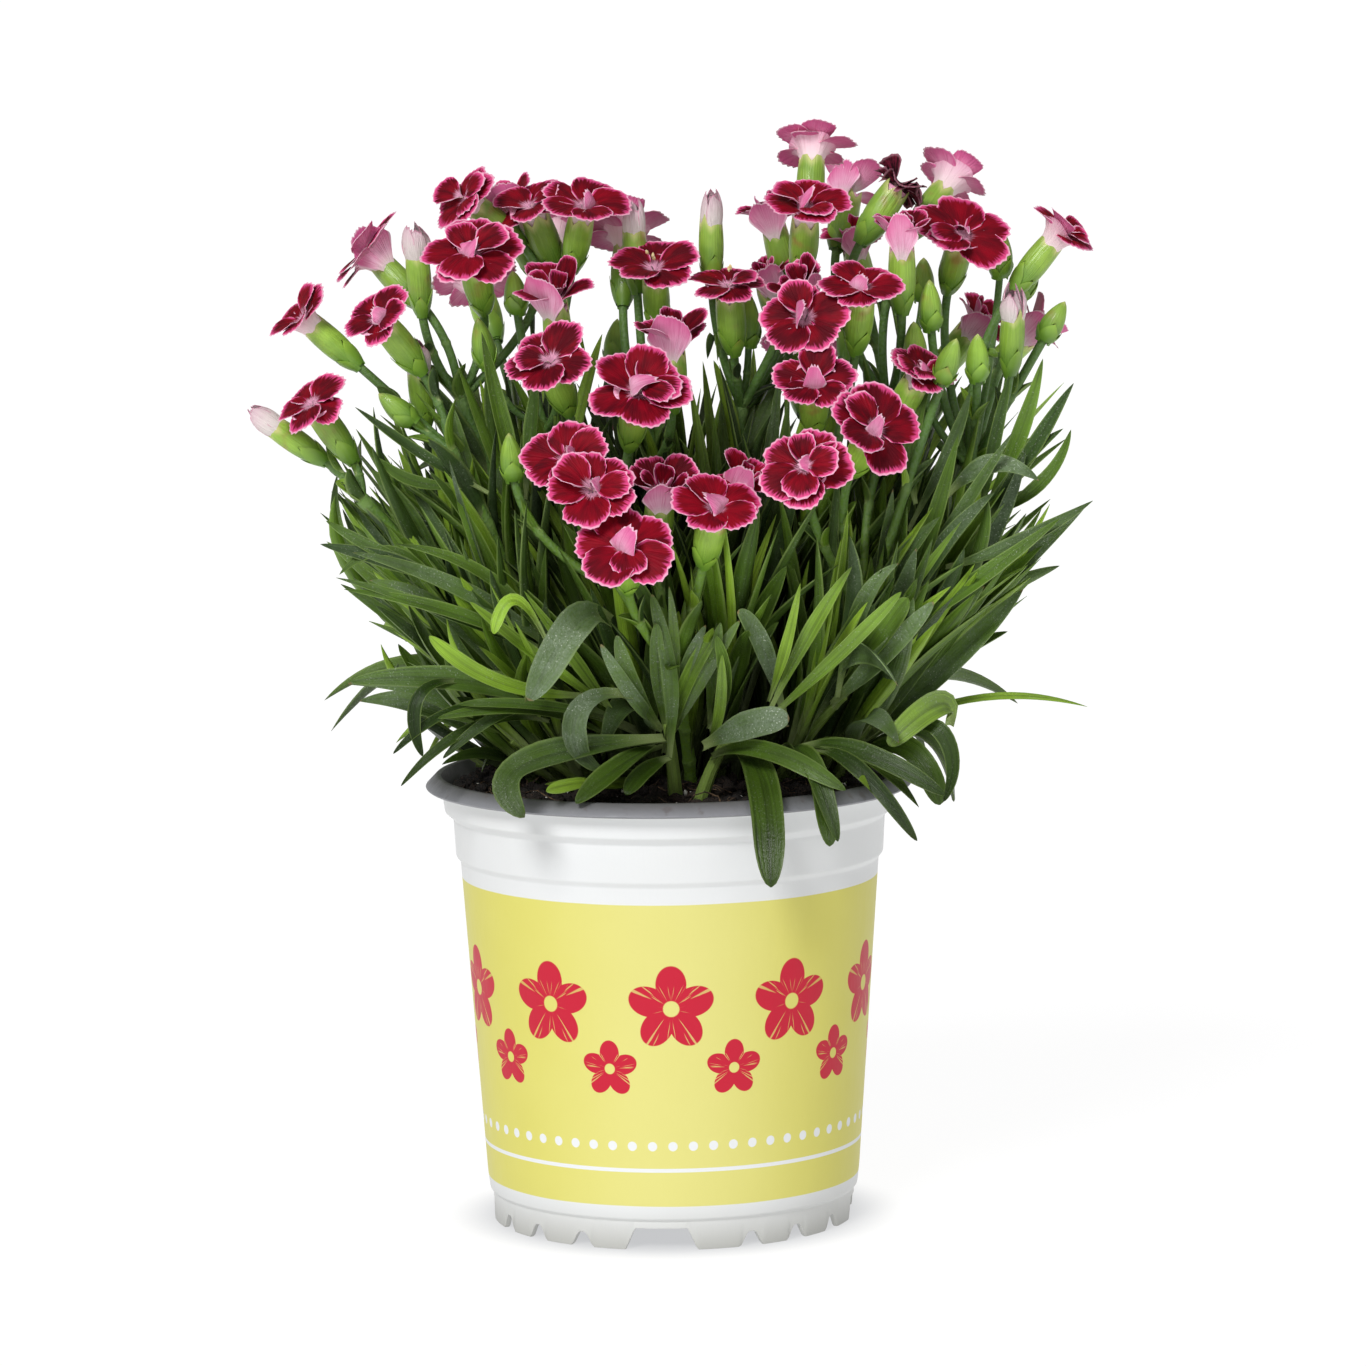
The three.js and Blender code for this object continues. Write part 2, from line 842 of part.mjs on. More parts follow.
const plant = new THREE.Group();
for (const [name, { solid, material }] of nodes) {
  const mesh = new THREE.Mesh(geometryOf(largestBody(solid)), material);
  mesh.name = name;
  plant.add(mesh);
}

export default plant;
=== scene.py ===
# %% [markdown]
# # A flowering dianthus in its nursery pot
#
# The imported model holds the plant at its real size: a pot, a block of peat, stems, leaf shoots and the
# open flowers, all as plain solids. This lesson keeps every one of them where it stands and gives each
# its fine surface. Shapes are worked out in millimetres here, and become metres when a mesh is made.

import math
from functools import partial

import bpy
import numpy as np
from mathutils import Matrix


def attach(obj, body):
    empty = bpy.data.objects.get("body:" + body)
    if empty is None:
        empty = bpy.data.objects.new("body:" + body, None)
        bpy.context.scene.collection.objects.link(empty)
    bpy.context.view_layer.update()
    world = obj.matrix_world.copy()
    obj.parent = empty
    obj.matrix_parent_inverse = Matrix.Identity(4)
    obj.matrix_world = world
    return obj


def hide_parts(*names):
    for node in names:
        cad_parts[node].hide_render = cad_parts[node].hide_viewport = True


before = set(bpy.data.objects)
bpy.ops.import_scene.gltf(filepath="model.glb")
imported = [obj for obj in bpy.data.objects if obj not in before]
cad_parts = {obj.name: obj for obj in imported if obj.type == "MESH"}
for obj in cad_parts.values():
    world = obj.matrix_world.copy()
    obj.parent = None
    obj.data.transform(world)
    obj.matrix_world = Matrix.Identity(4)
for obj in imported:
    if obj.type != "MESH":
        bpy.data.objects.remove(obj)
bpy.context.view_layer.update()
MM = 0.001
print("frame:", len(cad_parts), "nodes")

# %% [markdown]
# ## Camera
#
# The plant is looked at from a little above the rim and from far away, so the pot's sides stay almost
# parallel. A long lens does that. The camera leans by less than a degree about its own line of sight.

# %% Camera
CAMERA_PLACE = (3.8, -1500.0, 320.4)
CAMERA_PITCH = 7.14  # degrees down from level
CAMERA_LEAN = -0.711
CAMERA_LENS = 161.9

camera = bpy.data.objects.new("camera", bpy.data.cameras.new("camera"))
camera.data.lens = CAMERA_LENS
camera.data.sensor_width = 36.0
camera.data.clip_end = 200.0
pitched = Matrix.Rotation(math.radians(90 - CAMERA_PITCH), 4, "X")
leaned = Matrix.Rotation(math.radians(CAMERA_LEAN), 4, "Z")
camera.matrix_world = Matrix.Translation([c * MM for c in CAMERA_PLACE]) @ pitched @ leaned
bpy.context.scene.collection.objects.link(camera)
bpy.context.scene.camera = camera
print("camera at", CAMERA_PLACE, "mm, lens", CAMERA_LENS)

# %% [markdown]
# ## Shader sums
#
# A pattern is a sum on numbers that vary over a surface. Drawn by hand, each plus and times is one more
# box to drag about. Here a small class stands for such a number, and Python's own signs add the boxes.

# %% A number that varies over a surface
class Value:
    """One output in a node tree. + - * / ** on it add Math nodes, and node() adds any other kind."""

    def __init__(self, tree, socket=None):
        self.tree = tree
        self.socket = socket

    def node(self, kind, settings=None, sockets=None, out=0):
        """Adds one node: its settings first, then its sockets as numbers or links. Gives back one
        output."""
        made = self.tree.nodes.new("ShaderNode" + kind)
        for name, setting in (settings or {}).items():
            setattr(made, name, setting)
        for name, entry in (sockets or {}).items():
            if isinstance(entry, Value):
                self.tree.links.new(entry.socket, made.inputs[name])
            else:
                made.inputs[name].default_value = entry
        return Value(self.tree, made.outputs[out])

    def sum(self, operation, *numbers):
        """One Math node on this number and any others."""
        return self.node("Math", {"operation": operation}, dict(enumerate((self, *numbers))))

    def last(self, operation, first):
        """One Math node with this number as its second."""
        return self.node("Math", {"operation": operation}, {0: first, 1: self})

    def __add__(self, other):
        return self.sum("ADD", other)

    def __sub__(self, other):
        return self.sum("SUBTRACT", other)

    def __rsub__(self, other):
        return self.last("SUBTRACT", other)

    def __mul__(self, other):
        return self.sum("MULTIPLY", other)

    def __truediv__(self, other):
        return self.sum("DIVIDE", other)

    def __rtruediv__(self, other):
        return self.last("DIVIDE", other)

    def __pow__(self, other):
        return self.sum("POWER", other)

    def __abs__(self):
        return self.sum("ABSOLUTE")

    __radd__ = __add__
    __rmul__ = __mul__

    def rise(self, low, high):
        """0 below `low`, 1 above `high`, smooth between. With low above high it falls instead."""
        settings = {"interpolation_type": "SMOOTHSTEP"}
        return self.node("MapRange", settings, {0: self, 1: low, 2: high, 3: 0.0, 4: 1.0})

    def blend(self, none, full):
        """A colour between two colours, this number being the share of the second."""
        return self.node("Mix", {"data_type": "RGBA"}, {0: self, 6: none, 7: full}, out=2)

    def scaled(self, factor):
        """This colour or vector times a number."""
        return self.node("VectorMath", {"operation": "SCALE"}, {0: self, "Scale": factor})


print("shader sums ready")

# %% A finish and its colours
def paint(red, green, blue):
    """A linear colour from a paint chart's red, green and blue, each 0 to 255."""
    chart = np.array([red, green, blue]) / 255
    linear = np.where(chart <= 0.04045, chart / 12.92, ((chart + 0.055) / 1.055) ** 2.4)
    return (*linear.tolist(), 1.0)


class Finish:
    """One Principled material, and the coordinates and marks that its patterns read."""

    def __init__(self, name, roughness, **plain):
        self.material = bpy.data.materials.new(name)
        self.material.use_nodes = True
        self.tree = self.material.node_tree
        self.shader = self.tree.nodes["Principled BSDF"]
        self.shader.inputs["Roughness"].default_value = roughness
        for name, number in plain.items():
            self.shader.inputs[name.replace("_", " ")].default_value = number
        self.start = Value(self.tree)

    def place(self):
        """Object coordinates, in metres."""
        return self.start.node("TexCoord", out=3)

    def mark(self, name):
        """A number that the mesh carries at its points."""
        return self.start.node("Attribute", {"attribute_name": name}, out=2)

    def split(self, vector):
        """The three numbers of a vector."""
        first = self.start.node("SeparateXYZ", sockets={0: vector})
        outputs = first.socket.node.outputs
        return [Value(self.tree, outputs[k]) for k in range(3)]

    def chart(self):
        """Across and along, each 0 to 1, from the mesh's own map."""
        return self.split(self.start.node("UVMap", {"uv_map": "map"}))[:2]

    def noise(self, vector, scale, detail=2.0):
        """Cloudy noise from 0 to 1, mostly near a half."""
        return self.start.node("TexNoise", sockets={"Vector": vector, "Scale": scale, "Detail": detail})

    def streaks(self, x, y, z, detail=2.0):
        """Noise at x, y and z, given one by one. With x many times across a piece and y a little along it,
        the clouds are drawn out into streaks along the piece."""
        return self.noise(self.start.node("CombineXYZ", sockets={0: x, 1: y, 2: z}), 1.0, detail)

    def feed(self, socket, value):
        self.tree.links.new(value.socket, self.shader.inputs[socket])

    def cover(self, colour, roughness, height, distance):
        """Links what varies: the colour, the roughness unless it is None, and a relief of height times
        distance, in metres."""
        self.feed("Base Color", colour)
        if roughness is not None:
            self.feed("Roughness", roughness)
        self.feed("Normal", self.start.node("Bump", sockets={"Height": height, "Distance": distance}))
        return self


print("finishes ready")

# %% [markdown]
# ## Surfaces from grids
#
# Every piece here, from the pot to a petal's tooth, is a closed skin: rings of points, one ring after
# the other, joined by quads, with a strip of quads over both ends. A thin leaf is such a skin too, its
# ring running over the face and back along the underside. So one rule for the quads serves all, and what
# is left is to work out the points.

# %% Closed skins
def skin_quads(rings, points):
    """The quads of a closed skin: ring i to ring i + 1 all round, then a strip over the first and the
    last ring."""
    i = np.arange(rings - 1)[:, None] * points
    j = np.arange(points)[None, :]
    k = (j + 1) % points
    wall = np.stack([i + j, i + k, i + points + k, i + points + j], axis=-1).reshape(-1, 4)
    h = np.arange(points // 2 - 1)
    end = np.stack([h, h + 1, points - 2 - h, points - 1 - h], axis=-1)
    return np.concatenate([wall, end[:, ::-1], end + (rings - 1) * points])


class Gather:
    """Collects closed skins in millimetres, and makes them one mesh object in metres."""

    def __init__(self):
        self.points, self.quads, self.maps, self.finishes, self.marks = [], [], [], [], []
        self.count = 0

    def add(self, grid, across=0.0, along=0.0, finish=0, **marks):
        """Adds one grid of rings x points, or a stack of them. `finish` is a number, or one for each
        ring's side."""
        grid = np.asarray(grid, float)
        grid = grid[None] if grid.ndim == 3 else grid
        copies, rings, points = grid.shape[:3]
        one = skin_quads(rings, points)
        shift = self.count + np.arange(copies)[:, None, None] * rings * points
        self.points.append(grid.reshape(-1, 3))
        self.quads.append((one[None] + shift).reshape(-1, 4))
        shape = (copies, rings, points)
        chart = [np.broadcast_to(part, shape).ravel() for part in (across, along)]
        self.maps.append(np.stack(chart, axis=-1))
        walls = np.broadcast_to(finish, (rings - 1, points)).ravel()
        ends = np.full(len(one) - len(walls), walls[-1])
        self.finishes.append(np.tile(np.concatenate([walls, ends]), copies))
        self.marks.append({name: np.broadcast_to(mark, shape).ravel() for name, mark in marks.items()})
        self.count += copies * rings * points

    def make(self, name, finishes, slot, replaces=(), crease=40.0):
        mesh = bpy.data.meshes.new(name)
        points = np.concatenate(self.points) * MM
        quads = np.concatenate(self.quads)
        mesh.vertices.add(len(points))
        mesh.vertices.foreach_set("co", points.ravel())
        mesh.loops.add(quads.size)
        mesh.loops.foreach_set("vertex_index", quads.ravel())
        mesh.polygons.add(len(quads))
        mesh.polygons.foreach_set("loop_start", np.arange(0, quads.size, 4))
        mesh.polygons.foreach_set("material_index", np.concatenate(self.finishes))
        mesh.update(calc_edges=True)
        mesh.shade_smooth()
        mesh.set_sharp_from_angle(angle=math.radians(crease))
        chart = mesh.uv_layers.new(name="map")
        chart.data.foreach_set("uv", np.concatenate(self.maps)[quads.ravel()].ravel())
        for mark in self.marks[0]:
            layer = mesh.attributes.new(mark, "FLOAT", "POINT")
            layer.data.foreach_set("value", np.concatenate([part[mark] for part in self.marks]))
        for finish in finishes:
            mesh.materials.append(finish.material)
        made = bpy.data.objects.new(name, mesh)
        bpy.context.scene.collection.objects.link(made)
        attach(made, "root")
        if replaces:
            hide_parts(*replaces)
        return made


print("closed skins ready")

# %% Directions, paths and rings
def unit(vectors):
    """Each vector divided by its own length."""
    return vectors / np.linalg.norm(vectors, axis=-1, keepdims=True)


def direction(turn, rise):
    """Turn goes from the front (0) to the right (90), rise from level (0) to straight up (90)."""
    a, e = math.radians(turn), math.radians(rise)
    return np.array([math.sin(a) * math.cos(e), -math.cos(a) * math.cos(e), math.sin(e)])


def evenly(points):
    """The angles of points spaced evenly round a turn."""
    return 2 * np.pi * np.arange(points) / points


def eased(x):
    """x^2 (3 - 2x), with x kept within 0 and 1: it starts and ends level."""
    x = np.clip(x, 0, 1)
    return x * x * (3 - 2 * x)


def bent(start, middle, end, t):
    """A curve that leaves start towards middle and arrives at end from it: (1-t)^2, 2t(1-t) and t^2
    parts of each."""
    t = np.asarray(t, float)[:, None]
    return (1 - t) ** 2 * np.asarray(start) + 2 * t * (1 - t) * np.asarray(middle) + t**2 * np.asarray(end)


def threaded(points, t):
    """The cubic curve through four points, which it meets at t = 0, 1/3, 2/3 and 1."""
    t = np.asarray(t, float)[:, None] * 3
    first = -(t - 1) * (t - 2) * (t - 3) / 6 * points[0] + t * (t - 2) * (t - 3) / 2 * points[1]
    return first - t * (t - 1) * (t - 3) / 2 * points[2] + t * (t - 1) * (t - 2) / 6 * points[3]


def level_across(heading):
    """The level direction square to a heading, on its left."""
    x, y = heading[0], heading[1]
    return unit(np.array([-y, x, 0.0])) if math.hypot(x, y) > 1e-3 else np.array([0.0, 1.0, 0.0])


def path_frames(path, across):
    """At each station: a side direction near `across` and an up direction, both square to the path."""
    along = unit(np.gradient(path, axis=0))
    up = unit(np.cross(along, across))
    return np.cross(up, along), up


def square_to(axis):
    """Two directions square to an axis and to each other."""
    hint = np.array([0.0, 0.0, 1.0]) if abs(axis[2]) < 0.9 else np.array([1.0, 0.0, 0.0])
    first = unit(np.cross(hint, axis))
    return first, np.cross(axis, first)


def round_axis(axis, angles):
    """Directions square to an axis, at these angles about it: cos a of the first + sin a of the second."""
    first, second = square_to(axis)
    return np.cos(angles)[..., None] * first + np.sin(angles)[..., None] * second


def tube(path, radii, sides, across):
    """Rings round a path: each point is path + radius x (cos a of side + sin a of up)."""
    side, up = path_frames(path, across)
    a = evenly(sides)
    ring = np.cos(a)[:, None] * side[:, None] + np.sin(a)[:, None] * up[:, None]
    return path[:, None] + np.asarray(radii)[:, None, None] * ring


def turned(radii, heights, origin, axis):
    """A body of revolution: origin + radius x (cos a, sin a across the axis) + height x axis. Both
    inputs are rings x points, so either may also change with the angle."""
    ring = round_axis(axis, evenly(radii.shape[1]))
    return origin + radii[..., None] * ring + heights[..., None] * axis


def mirrored_turn(points):
    """A number across a ring that runs 0 to 1 and back, so that a pattern has no seam."""
    return np.abs(2 * np.arange(points) / points - 1)


UP = np.array([0.0, 0.0, 1.0])
print("paths and rings ready")

# %% [markdown]
# ## The pot
#
# A nursery pot is one thin moulded shell: a foot ring with gaps for the water to run out, a tapered wall
# with a printed band, a collar for stacking and a flat sloping rim. The plastic is white outside and
# grey inside, in two layers, and the grey shows on the rim. It could be spun from a curve, but the
# foot's gaps would then have to be cut. As one skin whose height also depends on the angle, the gaps are
# there from the start.

# %% Pot finishes
POT_WHITE = paint(224, 226, 227)
POT_GREY = paint(142, 143, 148)
# Painted shade inside the pot: its grey darkens from the rim's edge inwards.
POT_GREY_PAINTED_SHADE = paint(84, 84, 83)
RIM_PAINTED_SHADE = (0.0600, 0.0565)  # distances from the pot's axis, from the rim's edge inwards, metres
BAND_YELLOW = paint(214, 208, 108)
PRINT_RED = paint(192, 26, 52)
BAND_BOTTOM, BAND_TOP = 11.0, 85.5  # heights of the printed band, mm
BAND_EDGE = 0.12  # how soft its edges are
BAND_RADIUS = 49.0  # of the wall at the middle of the band
BLOSSOM_STEP = 36.0  # degrees from one blossom to the next
BLOSSOMS = [(10.5, 60.0, 0.0), (7.0, 45.0, 18.0)]  # size, height, degrees that the row is turned on
DOT_STEP, DOT_HEIGHT = 6.0, 26.0  # degrees, mm
LINE_HEIGHT = 20.0


def blossom(finish, around, height, size):
    """1 inside a plain five-petalled flower, 0 outside and in its fine veins: its edge swings five times
    round between near and far."""
    distance = (around * around + height * height) ** 0.5 / size
    angle = around.sum("ARCTAN2", height)
    lobes = abs((angle * 2.5).sum("COSINE"))
    petals = (distance - lobes * 0.42).rise(0.60, 0.57)
    eye = distance.rise(0.17, 0.20)
    veins = finish.streaks(angle * 9.0, distance * 0.9, size).rise(0.60, 0.66)
    return petals * eye * (1.0 - veins * distance.rise(0.15, 0.4) * 0.65)


def repeated(angle, every, shift=0.0):
    """How far an angle is from the nearest multiple of `every` (plus a shift), in degrees."""
    return (angle + (3600 - shift)).sum("PINGPONG", every / 2)


def pot_outside():
    """White plastic with a few scuffs, with dust and painted shade at the foot, and the yellow band with
    its plain print and a painted highlight where it faces front and back.
    """
    finish = Finish("pot_white", 0.38, Specular_IOR_Level=0.25)
    place = finish.place()
    x, y, z = finish.split(place)
    height = z * 1000.0
    angle = x.sum("ARCTAN2", y * -1.0) * (180 / math.pi)
    cloud = finish.noise(place, 35.0)
    white = cloud.blend(POT_WHITE, paint(216, 217, 216))
    # painted shade and dust: the white darkens towards the foot
    white = height.rise(13.0, -3.0).blend(white, paint(180, 180, 174))
    yellow = finish.noise(place, 60.0, 4.0).blend(BAND_YELLOW, paint(209, 202, 94))
    # painted highlight: the yellow turns paler where the band faces front and back
    yellow = (abs(x).rise(0.045, 0.005) * 0.45).blend(yellow, paint(222, 217, 150))
    wander = (finish.noise(place, 25.0) - 0.5) * 0.5
    band = (height + wander).rise(BAND_BOTTOM - BAND_EDGE, BAND_BOTTOM + BAND_EDGE)
    band = band * (height + wander).rise(BAND_TOP + BAND_EDGE, BAND_TOP - BAND_EDGE)
    colour = band.blend(white, yellow)
    arc = math.radians(BAND_RADIUS)  # mm of wall for each degree
    for size, level, shift in BLOSSOMS:
        around = repeated(angle, BLOSSOM_STEP, shift) * arc
        colour = blossom(finish, around, height - level, size).blend(colour, PRINT_RED)
    dot = ((repeated(angle, DOT_STEP) * arc) ** 2.0 + (height - DOT_HEIGHT) ** 2.0).rise(1.6, 1.1)
    line = abs(height - LINE_HEIGHT).rise(0.55, 0.4)
    colour = dot.sum("MAXIMUM", line).blend(colour, POT_WHITE)
    scuffs = finish.noise(place.node("Mapping", sockets={0: place, 3: (1.0, 1.0, 0.15)}), 900.0, 3.0)
    relief = finish.noise(place, 140.0, 3.0) * 0.5 + scuffs * 0.1
    return finish.cover(colour, scuffs * 0.16 + 0.3 + band * 0.06, relief, 0.0003)


def pot_inside():
    """Grey plastic with painted shade within the rim, and peat dust on it."""
    finish = Finish("pot_grey", 0.5)
    place = finish.place()
    dust = finish.noise(place, 260.0, 4.0).rise(0.58, 0.72)
    tone = finish.noise(place, 40.0).blend(POT_GREY, paint(124, 125, 130))
    east, north, _ = finish.split(place)
    reach = (east * east + north * north) ** 0.5 + (dust - 0.5) * 0.0008
    # painted shade: darker from the rim's edge down into the pot
    tone = (reach.rise(*RIM_PAINTED_SHADE) * 0.9).blend(tone, POT_GREY_PAINTED_SHADE)
    colour = (dust * 0.5).blend(tone, paint(70, 58, 50))
    roughness = finish.noise(place, 500.0) * 0.2 + 0.36
    return finish.cover(colour, roughness, finish.noise(place, 220.0, 3.0), 0.0004)


POT_FINISHES = [pot_outside(), pot_inside()]
print("pot finishes:", [f.material.name for f in POT_FINISHES])

# %% The pot's profile
POT_POINTS = 420
FOOT_TOP = 7.0
FOOT_INSIDE, FOOT_OUTSIDE = 43.0, 44.7  # radii: all of the foot lies outside the first
FOOT_TURN = -4.0
FOOT_GAP = (17.6, 12.9, 5.3)  # width at the ground, width at the top, height
FOOT_NOTCH = (6.0, 2.0, 3.6)
NOTCH_TURNS = (29, 46, 64)  # degrees on from each gap
POT_WALL = [  # radius, height
    (0.5, 7.2), (42.6, 7.2), (43.3, 6.4), (43.3, 0.0),  # under the floor and down the foot's inside
    (44.7, 0.0), (44.7, 7.0), (45.6, 7.8), (46.1, 12.0),  # up the foot's outside to the wall
    (51.4, 87.0), (51.6, 89.6), (52.7, 90.9), (53.2, 100.2),  # the wall and the collar step
    (55.3, 102.0), (55.9, 106.9), (59.5, 107.5), (60.0, 108.0), (57.2, 110.9),  # out to the rim and over it
    (56.0, 110.8), (54.4, 105.6), (52.1, 100.4), (50.4, 89.0), (44.4, 8.6), (0.5, 8.6),  # down the inside
]
GREY_FROM = (59.5, 107.5)  # where the white layer ends, under the rim's edge


def rounded(corners, cut, steps=3):
    """A polyline whose inner corners are small curves that start and end `cut` away from them."""
    made = [np.array(corners[0])]
    for before, corner, after in zip(corners, corners[1:], corners[2:]):
        corner = np.array(corner)
        ends = []
        for other in (before, after):
            step = np.array(other) - corner
            reach = min(cut, 0.4 * np.hypot(*step))
            ends.append(corner + step / np.hypot(*step) * reach)
        made.extend(bent(ends[0], corner, ends[1], np.linspace(0, 1, steps)))
    made.append(np.array(corners[-1]))
    return np.array(made)


def foot_bottom(angles):
    """Height of the foot's lower edge at each angle: 0, or up a slope to the top of a gap."""
    edge = np.zeros_like(angles)
    for quarter in range(4):
        for (low, high, height), turn in [(FOOT_GAP, 0)] + [(FOOT_NOTCH, turn) for turn in NOTCH_TURNS]:
            away = (angles - FOOT_TURN - 90 * quarter - turn + 180) % 360 - 180
            off = np.abs(np.radians(away)) * FOOT_OUTSIDE
            edge = np.maximum(edge, height * np.clip((low / 2 - off) / (low / 2 - high / 2), 0, 1))
    return edge


def make_pot():
    """Turns the profile; below the foot's top each height is squeezed to start from the foot's lower
    edge."""
    profile = rounded(POT_WALL, 0.35)
    radii = np.repeat(profile[:, :1], POT_POINTS, axis=1)
    heights = np.repeat(profile[:, 1:], POT_POINTS, axis=1)
    ring = round_axis(UP, evenly(POT_POINTS))
    edge = foot_bottom(np.degrees(np.arctan2(ring[:, 0], -ring[:, 1])))
    foot = (heights < FOOT_TOP) & (radii > FOOT_INSIDE)
    heights = np.where(foot, edge + heights * (FOOT_TOP - edge) / FOOT_TOP, heights)
    from_rim = np.argmin(np.hypot(*(profile - GREY_FROM).T))
    inside = (np.arange(len(profile) - 1) >= from_rim).astype(int)
    skin = Gather()
    skin.add(turned(radii, heights, np.zeros(3), UP), finish=inside[:, None])
    return skin.make("pot_shell", POT_FINISHES, "pot_plastic", ["pot"], crease=30.0)


pot = make_pot()
print("pot_shell:", len(pot.data.polygons), "quads")

# %% [markdown]
# ## The peat
#
# Peat is a loose crumbly ground. A fine grid with waves of many lengths gives the lie of the land, and
# small lumps, white grains and dead fibres lie on it, because their edges show against the light where a
# bump map would stay flat. Each lump has only about forty triangles, since there are many hundreds.

# %% Peat finishes
def peat_finish():
    """Dark damp peat with paler grains."""
    finish = Finish("peat", 0.95)
    place = finish.place()
    damp = finish.noise(place, 90.0, 3.0)
    grain = finish.noise(place, 1400.0, 4.0)
    dark = damp.rise(0.35, 0.65).blend(paint(16, 11, 9), paint(38, 27, 21))
    colour = grain.rise(0.5, 0.75).blend(dark, paint(66, 49, 37))
    return finish.cover(colour, damp * 0.3 + 0.7, grain + finish.noise(place, 600.0, 3.0), 0.0012)


def grain_finish(name, low, high, roughness):
    """A plain mineral or dry fibre: two colours clouded into each other."""
    finish = Finish(name, roughness)
    cloud = finish.noise(finish.place(), 900.0, 3.0)
    return finish.cover(cloud.rise(0.35, 0.65).blend(low, high), None, cloud, 0.0003)


PEAT = peat_finish()
PERLITE = grain_finish("perlite", paint(190, 186, 176), paint(238, 236, 230), 0.8)
FIBRE = grain_finish("fibre", paint(44, 32, 24), paint(104, 82, 60), 0.9)
print("peat, perlite and fibre ready")

# %% Lie of the land
SOIL_RADII = [0.0, 25.0, 53.2]
SOIL_HEAP = 3.2  # how much higher it lies at 50 mm to either side
SOIL_HEIGHTS = [108.0, 106.9, 104.4]
SOIL_WALL = [(0.5, 9.2), (44.0, 9.2), (50.0, 89.0), (51.5, 100.2), (51.5, 103.2)]  # radius, height
SOIL_POINTS, SOIL_RINGS = 200, 74
LUMP_POINTS, LUMP_RINGS = 6, 4
FIBRE_REACH = 49.5  # from the axis, so that no fibre meets the pot
WAVE_LENGTHS, WAVE_HEIGHTS = (30, 14, 7, 3.5), (1.6, 1.8, 1.3, 0.8)


def waves(x, y, lengths, heights, seed):
    """A sum of sine waves in random directions, some of each length, with the height given for it."""
    rng = np.random.default_rng(seed)
    total = np.zeros_like(x)
    for length, height in zip(lengths, heights):
        for turn, phase in zip(rng.uniform(0, np.pi, 7), rng.uniform(0, 2 * np.pi, 7)):
            total += height / 7 * np.sin(2 * np.pi * (x * np.cos(turn) + y * np.sin(turn)) / length + phase)
    return total


def soil_height(x, y):
    """The peat's surface: a low mound, heaped by SOIL_HEAP x (x / 50)^2 to the sides, with waves from 30
    mm down to 3 mm long, calm against the wall."""
    radius = np.hypot(x, y)
    calm = np.clip((52 - radius) / 4, 0.25, 1)
    mound = np.interp(radius, SOIL_RADII, SOIL_HEIGHTS) + SOIL_HEAP * (x / 50) ** 2
    return mound + calm * waves(x, y, WAVE_LENGTHS, WAVE_HEIGHTS, seed=4)


def make_peat():
    """A drum: under side, wall and the wavy top, as rings from the middle below to the middle above."""
    wall = np.array(SOIL_WALL)
    top = np.linspace(SOIL_RADII[-1], 0.5, SOIL_RINGS)
    spot = top[:, None, None] * round_axis(UP, evenly(SOIL_POINTS))
    radii = np.repeat(np.concatenate([wall[:, 0], top])[:, None], SOIL_POINTS, axis=1)
    wall_heights = np.repeat(wall[:, 1:], SOIL_POINTS, axis=1)
    heights = np.concatenate([wall_heights, soil_height(spot[..., 0], spot[..., 1])])
    skin = Gather()
    skin.add(turned(radii, heights, np.zeros(3), UP))
    return skin.make("peat", [PEAT], "soil", ["soil"], crease=80.0)


def lumps(rng, count, smallest, largest, reach, sink=0.25):
    """Rough lumps that lie on the peat: rings of a ball, each point pushed in or out at random."""
    size = smallest + (largest - smallest) * rng.random(count) ** 2.5
    radius = reach * np.sqrt(rng.random(count))
    turn = rng.uniform(0, 2 * np.pi, count)
    x, y = radius * np.cos(turn), radius * np.sin(turn)
    latitude = np.linspace(-1.25, 1.25, LUMP_RINGS)[:, None]
    a = evenly(LUMP_POINTS)
    ball = [np.cos(latitude) * np.cos(a), np.cos(latitude) * np.sin(a), np.sin(latitude) + 0 * a]
    rough = rng.uniform(0.7, 1.3, (count, LUMP_RINGS, LUMP_POINTS, 1))
    squash = rng.uniform(0.6, 1.3, (count, 1, 1, 3)) * (1.0, 1.0, 0.75)
    grid = np.stack(ball, axis=-1)[None] * rough * squash * size[:, None, None, None]
    middle = np.stack([x, y, soil_height(x, y) + size * sink], axis=-1)
    return grid + middle[:, None, None]


def make_fibres(count, seed):
    """Thin dead roots: three-cornered rods that wander a little and follow the ground."""
    rng = np.random.default_rng(seed)
    skin = Gather()
    t = np.linspace(0, 1, 7)
    for _ in range(count):
        x, y = rng.uniform(-46, 46, 2)
        if math.hypot(x, y) > 47:
            continue
        turn, length = rng.uniform(0, 2 * np.pi), rng.uniform(4, 17)
        swing = rng.uniform(-0.35, 0.35) * length
        along, aside = length * (t - 0.5), swing * np.sin(np.pi * t) + rng.normal(0, 0.3, 7)
        px = x + along * np.cos(turn) - aside * np.sin(turn)
        py = y + along * np.sin(turn) + aside * np.cos(turn)
        inside = np.minimum(1, FIBRE_REACH / np.maximum(np.hypot(px, py), 1))
        px, py = px * inside, py * inside
        lift = 0.5 + rng.uniform(0, 2.2) * np.sin(np.pi * t) ** 2 + rng.uniform(-0.2, 0.4)
        path = np.stack([px, py, soil_height(px, py) + lift], axis=-1)
        radii = rng.uniform(0.1, 0.22) * (1.1 - 0.7 * t)
        skin.add(tube(path, radii, 4, UP + 0.01))
    return skin.make("dead_fibres", [FIBRE], "soil")


def make_lumps(name, finish, seed, **measures):
    """One piece of many lumps. The measures are those of lumps()."""
    skin = Gather()
    skin.add(lumps(np.random.default_rng(seed), **measures))
    return skin.make(name, [finish], "soil", crease=80.0)


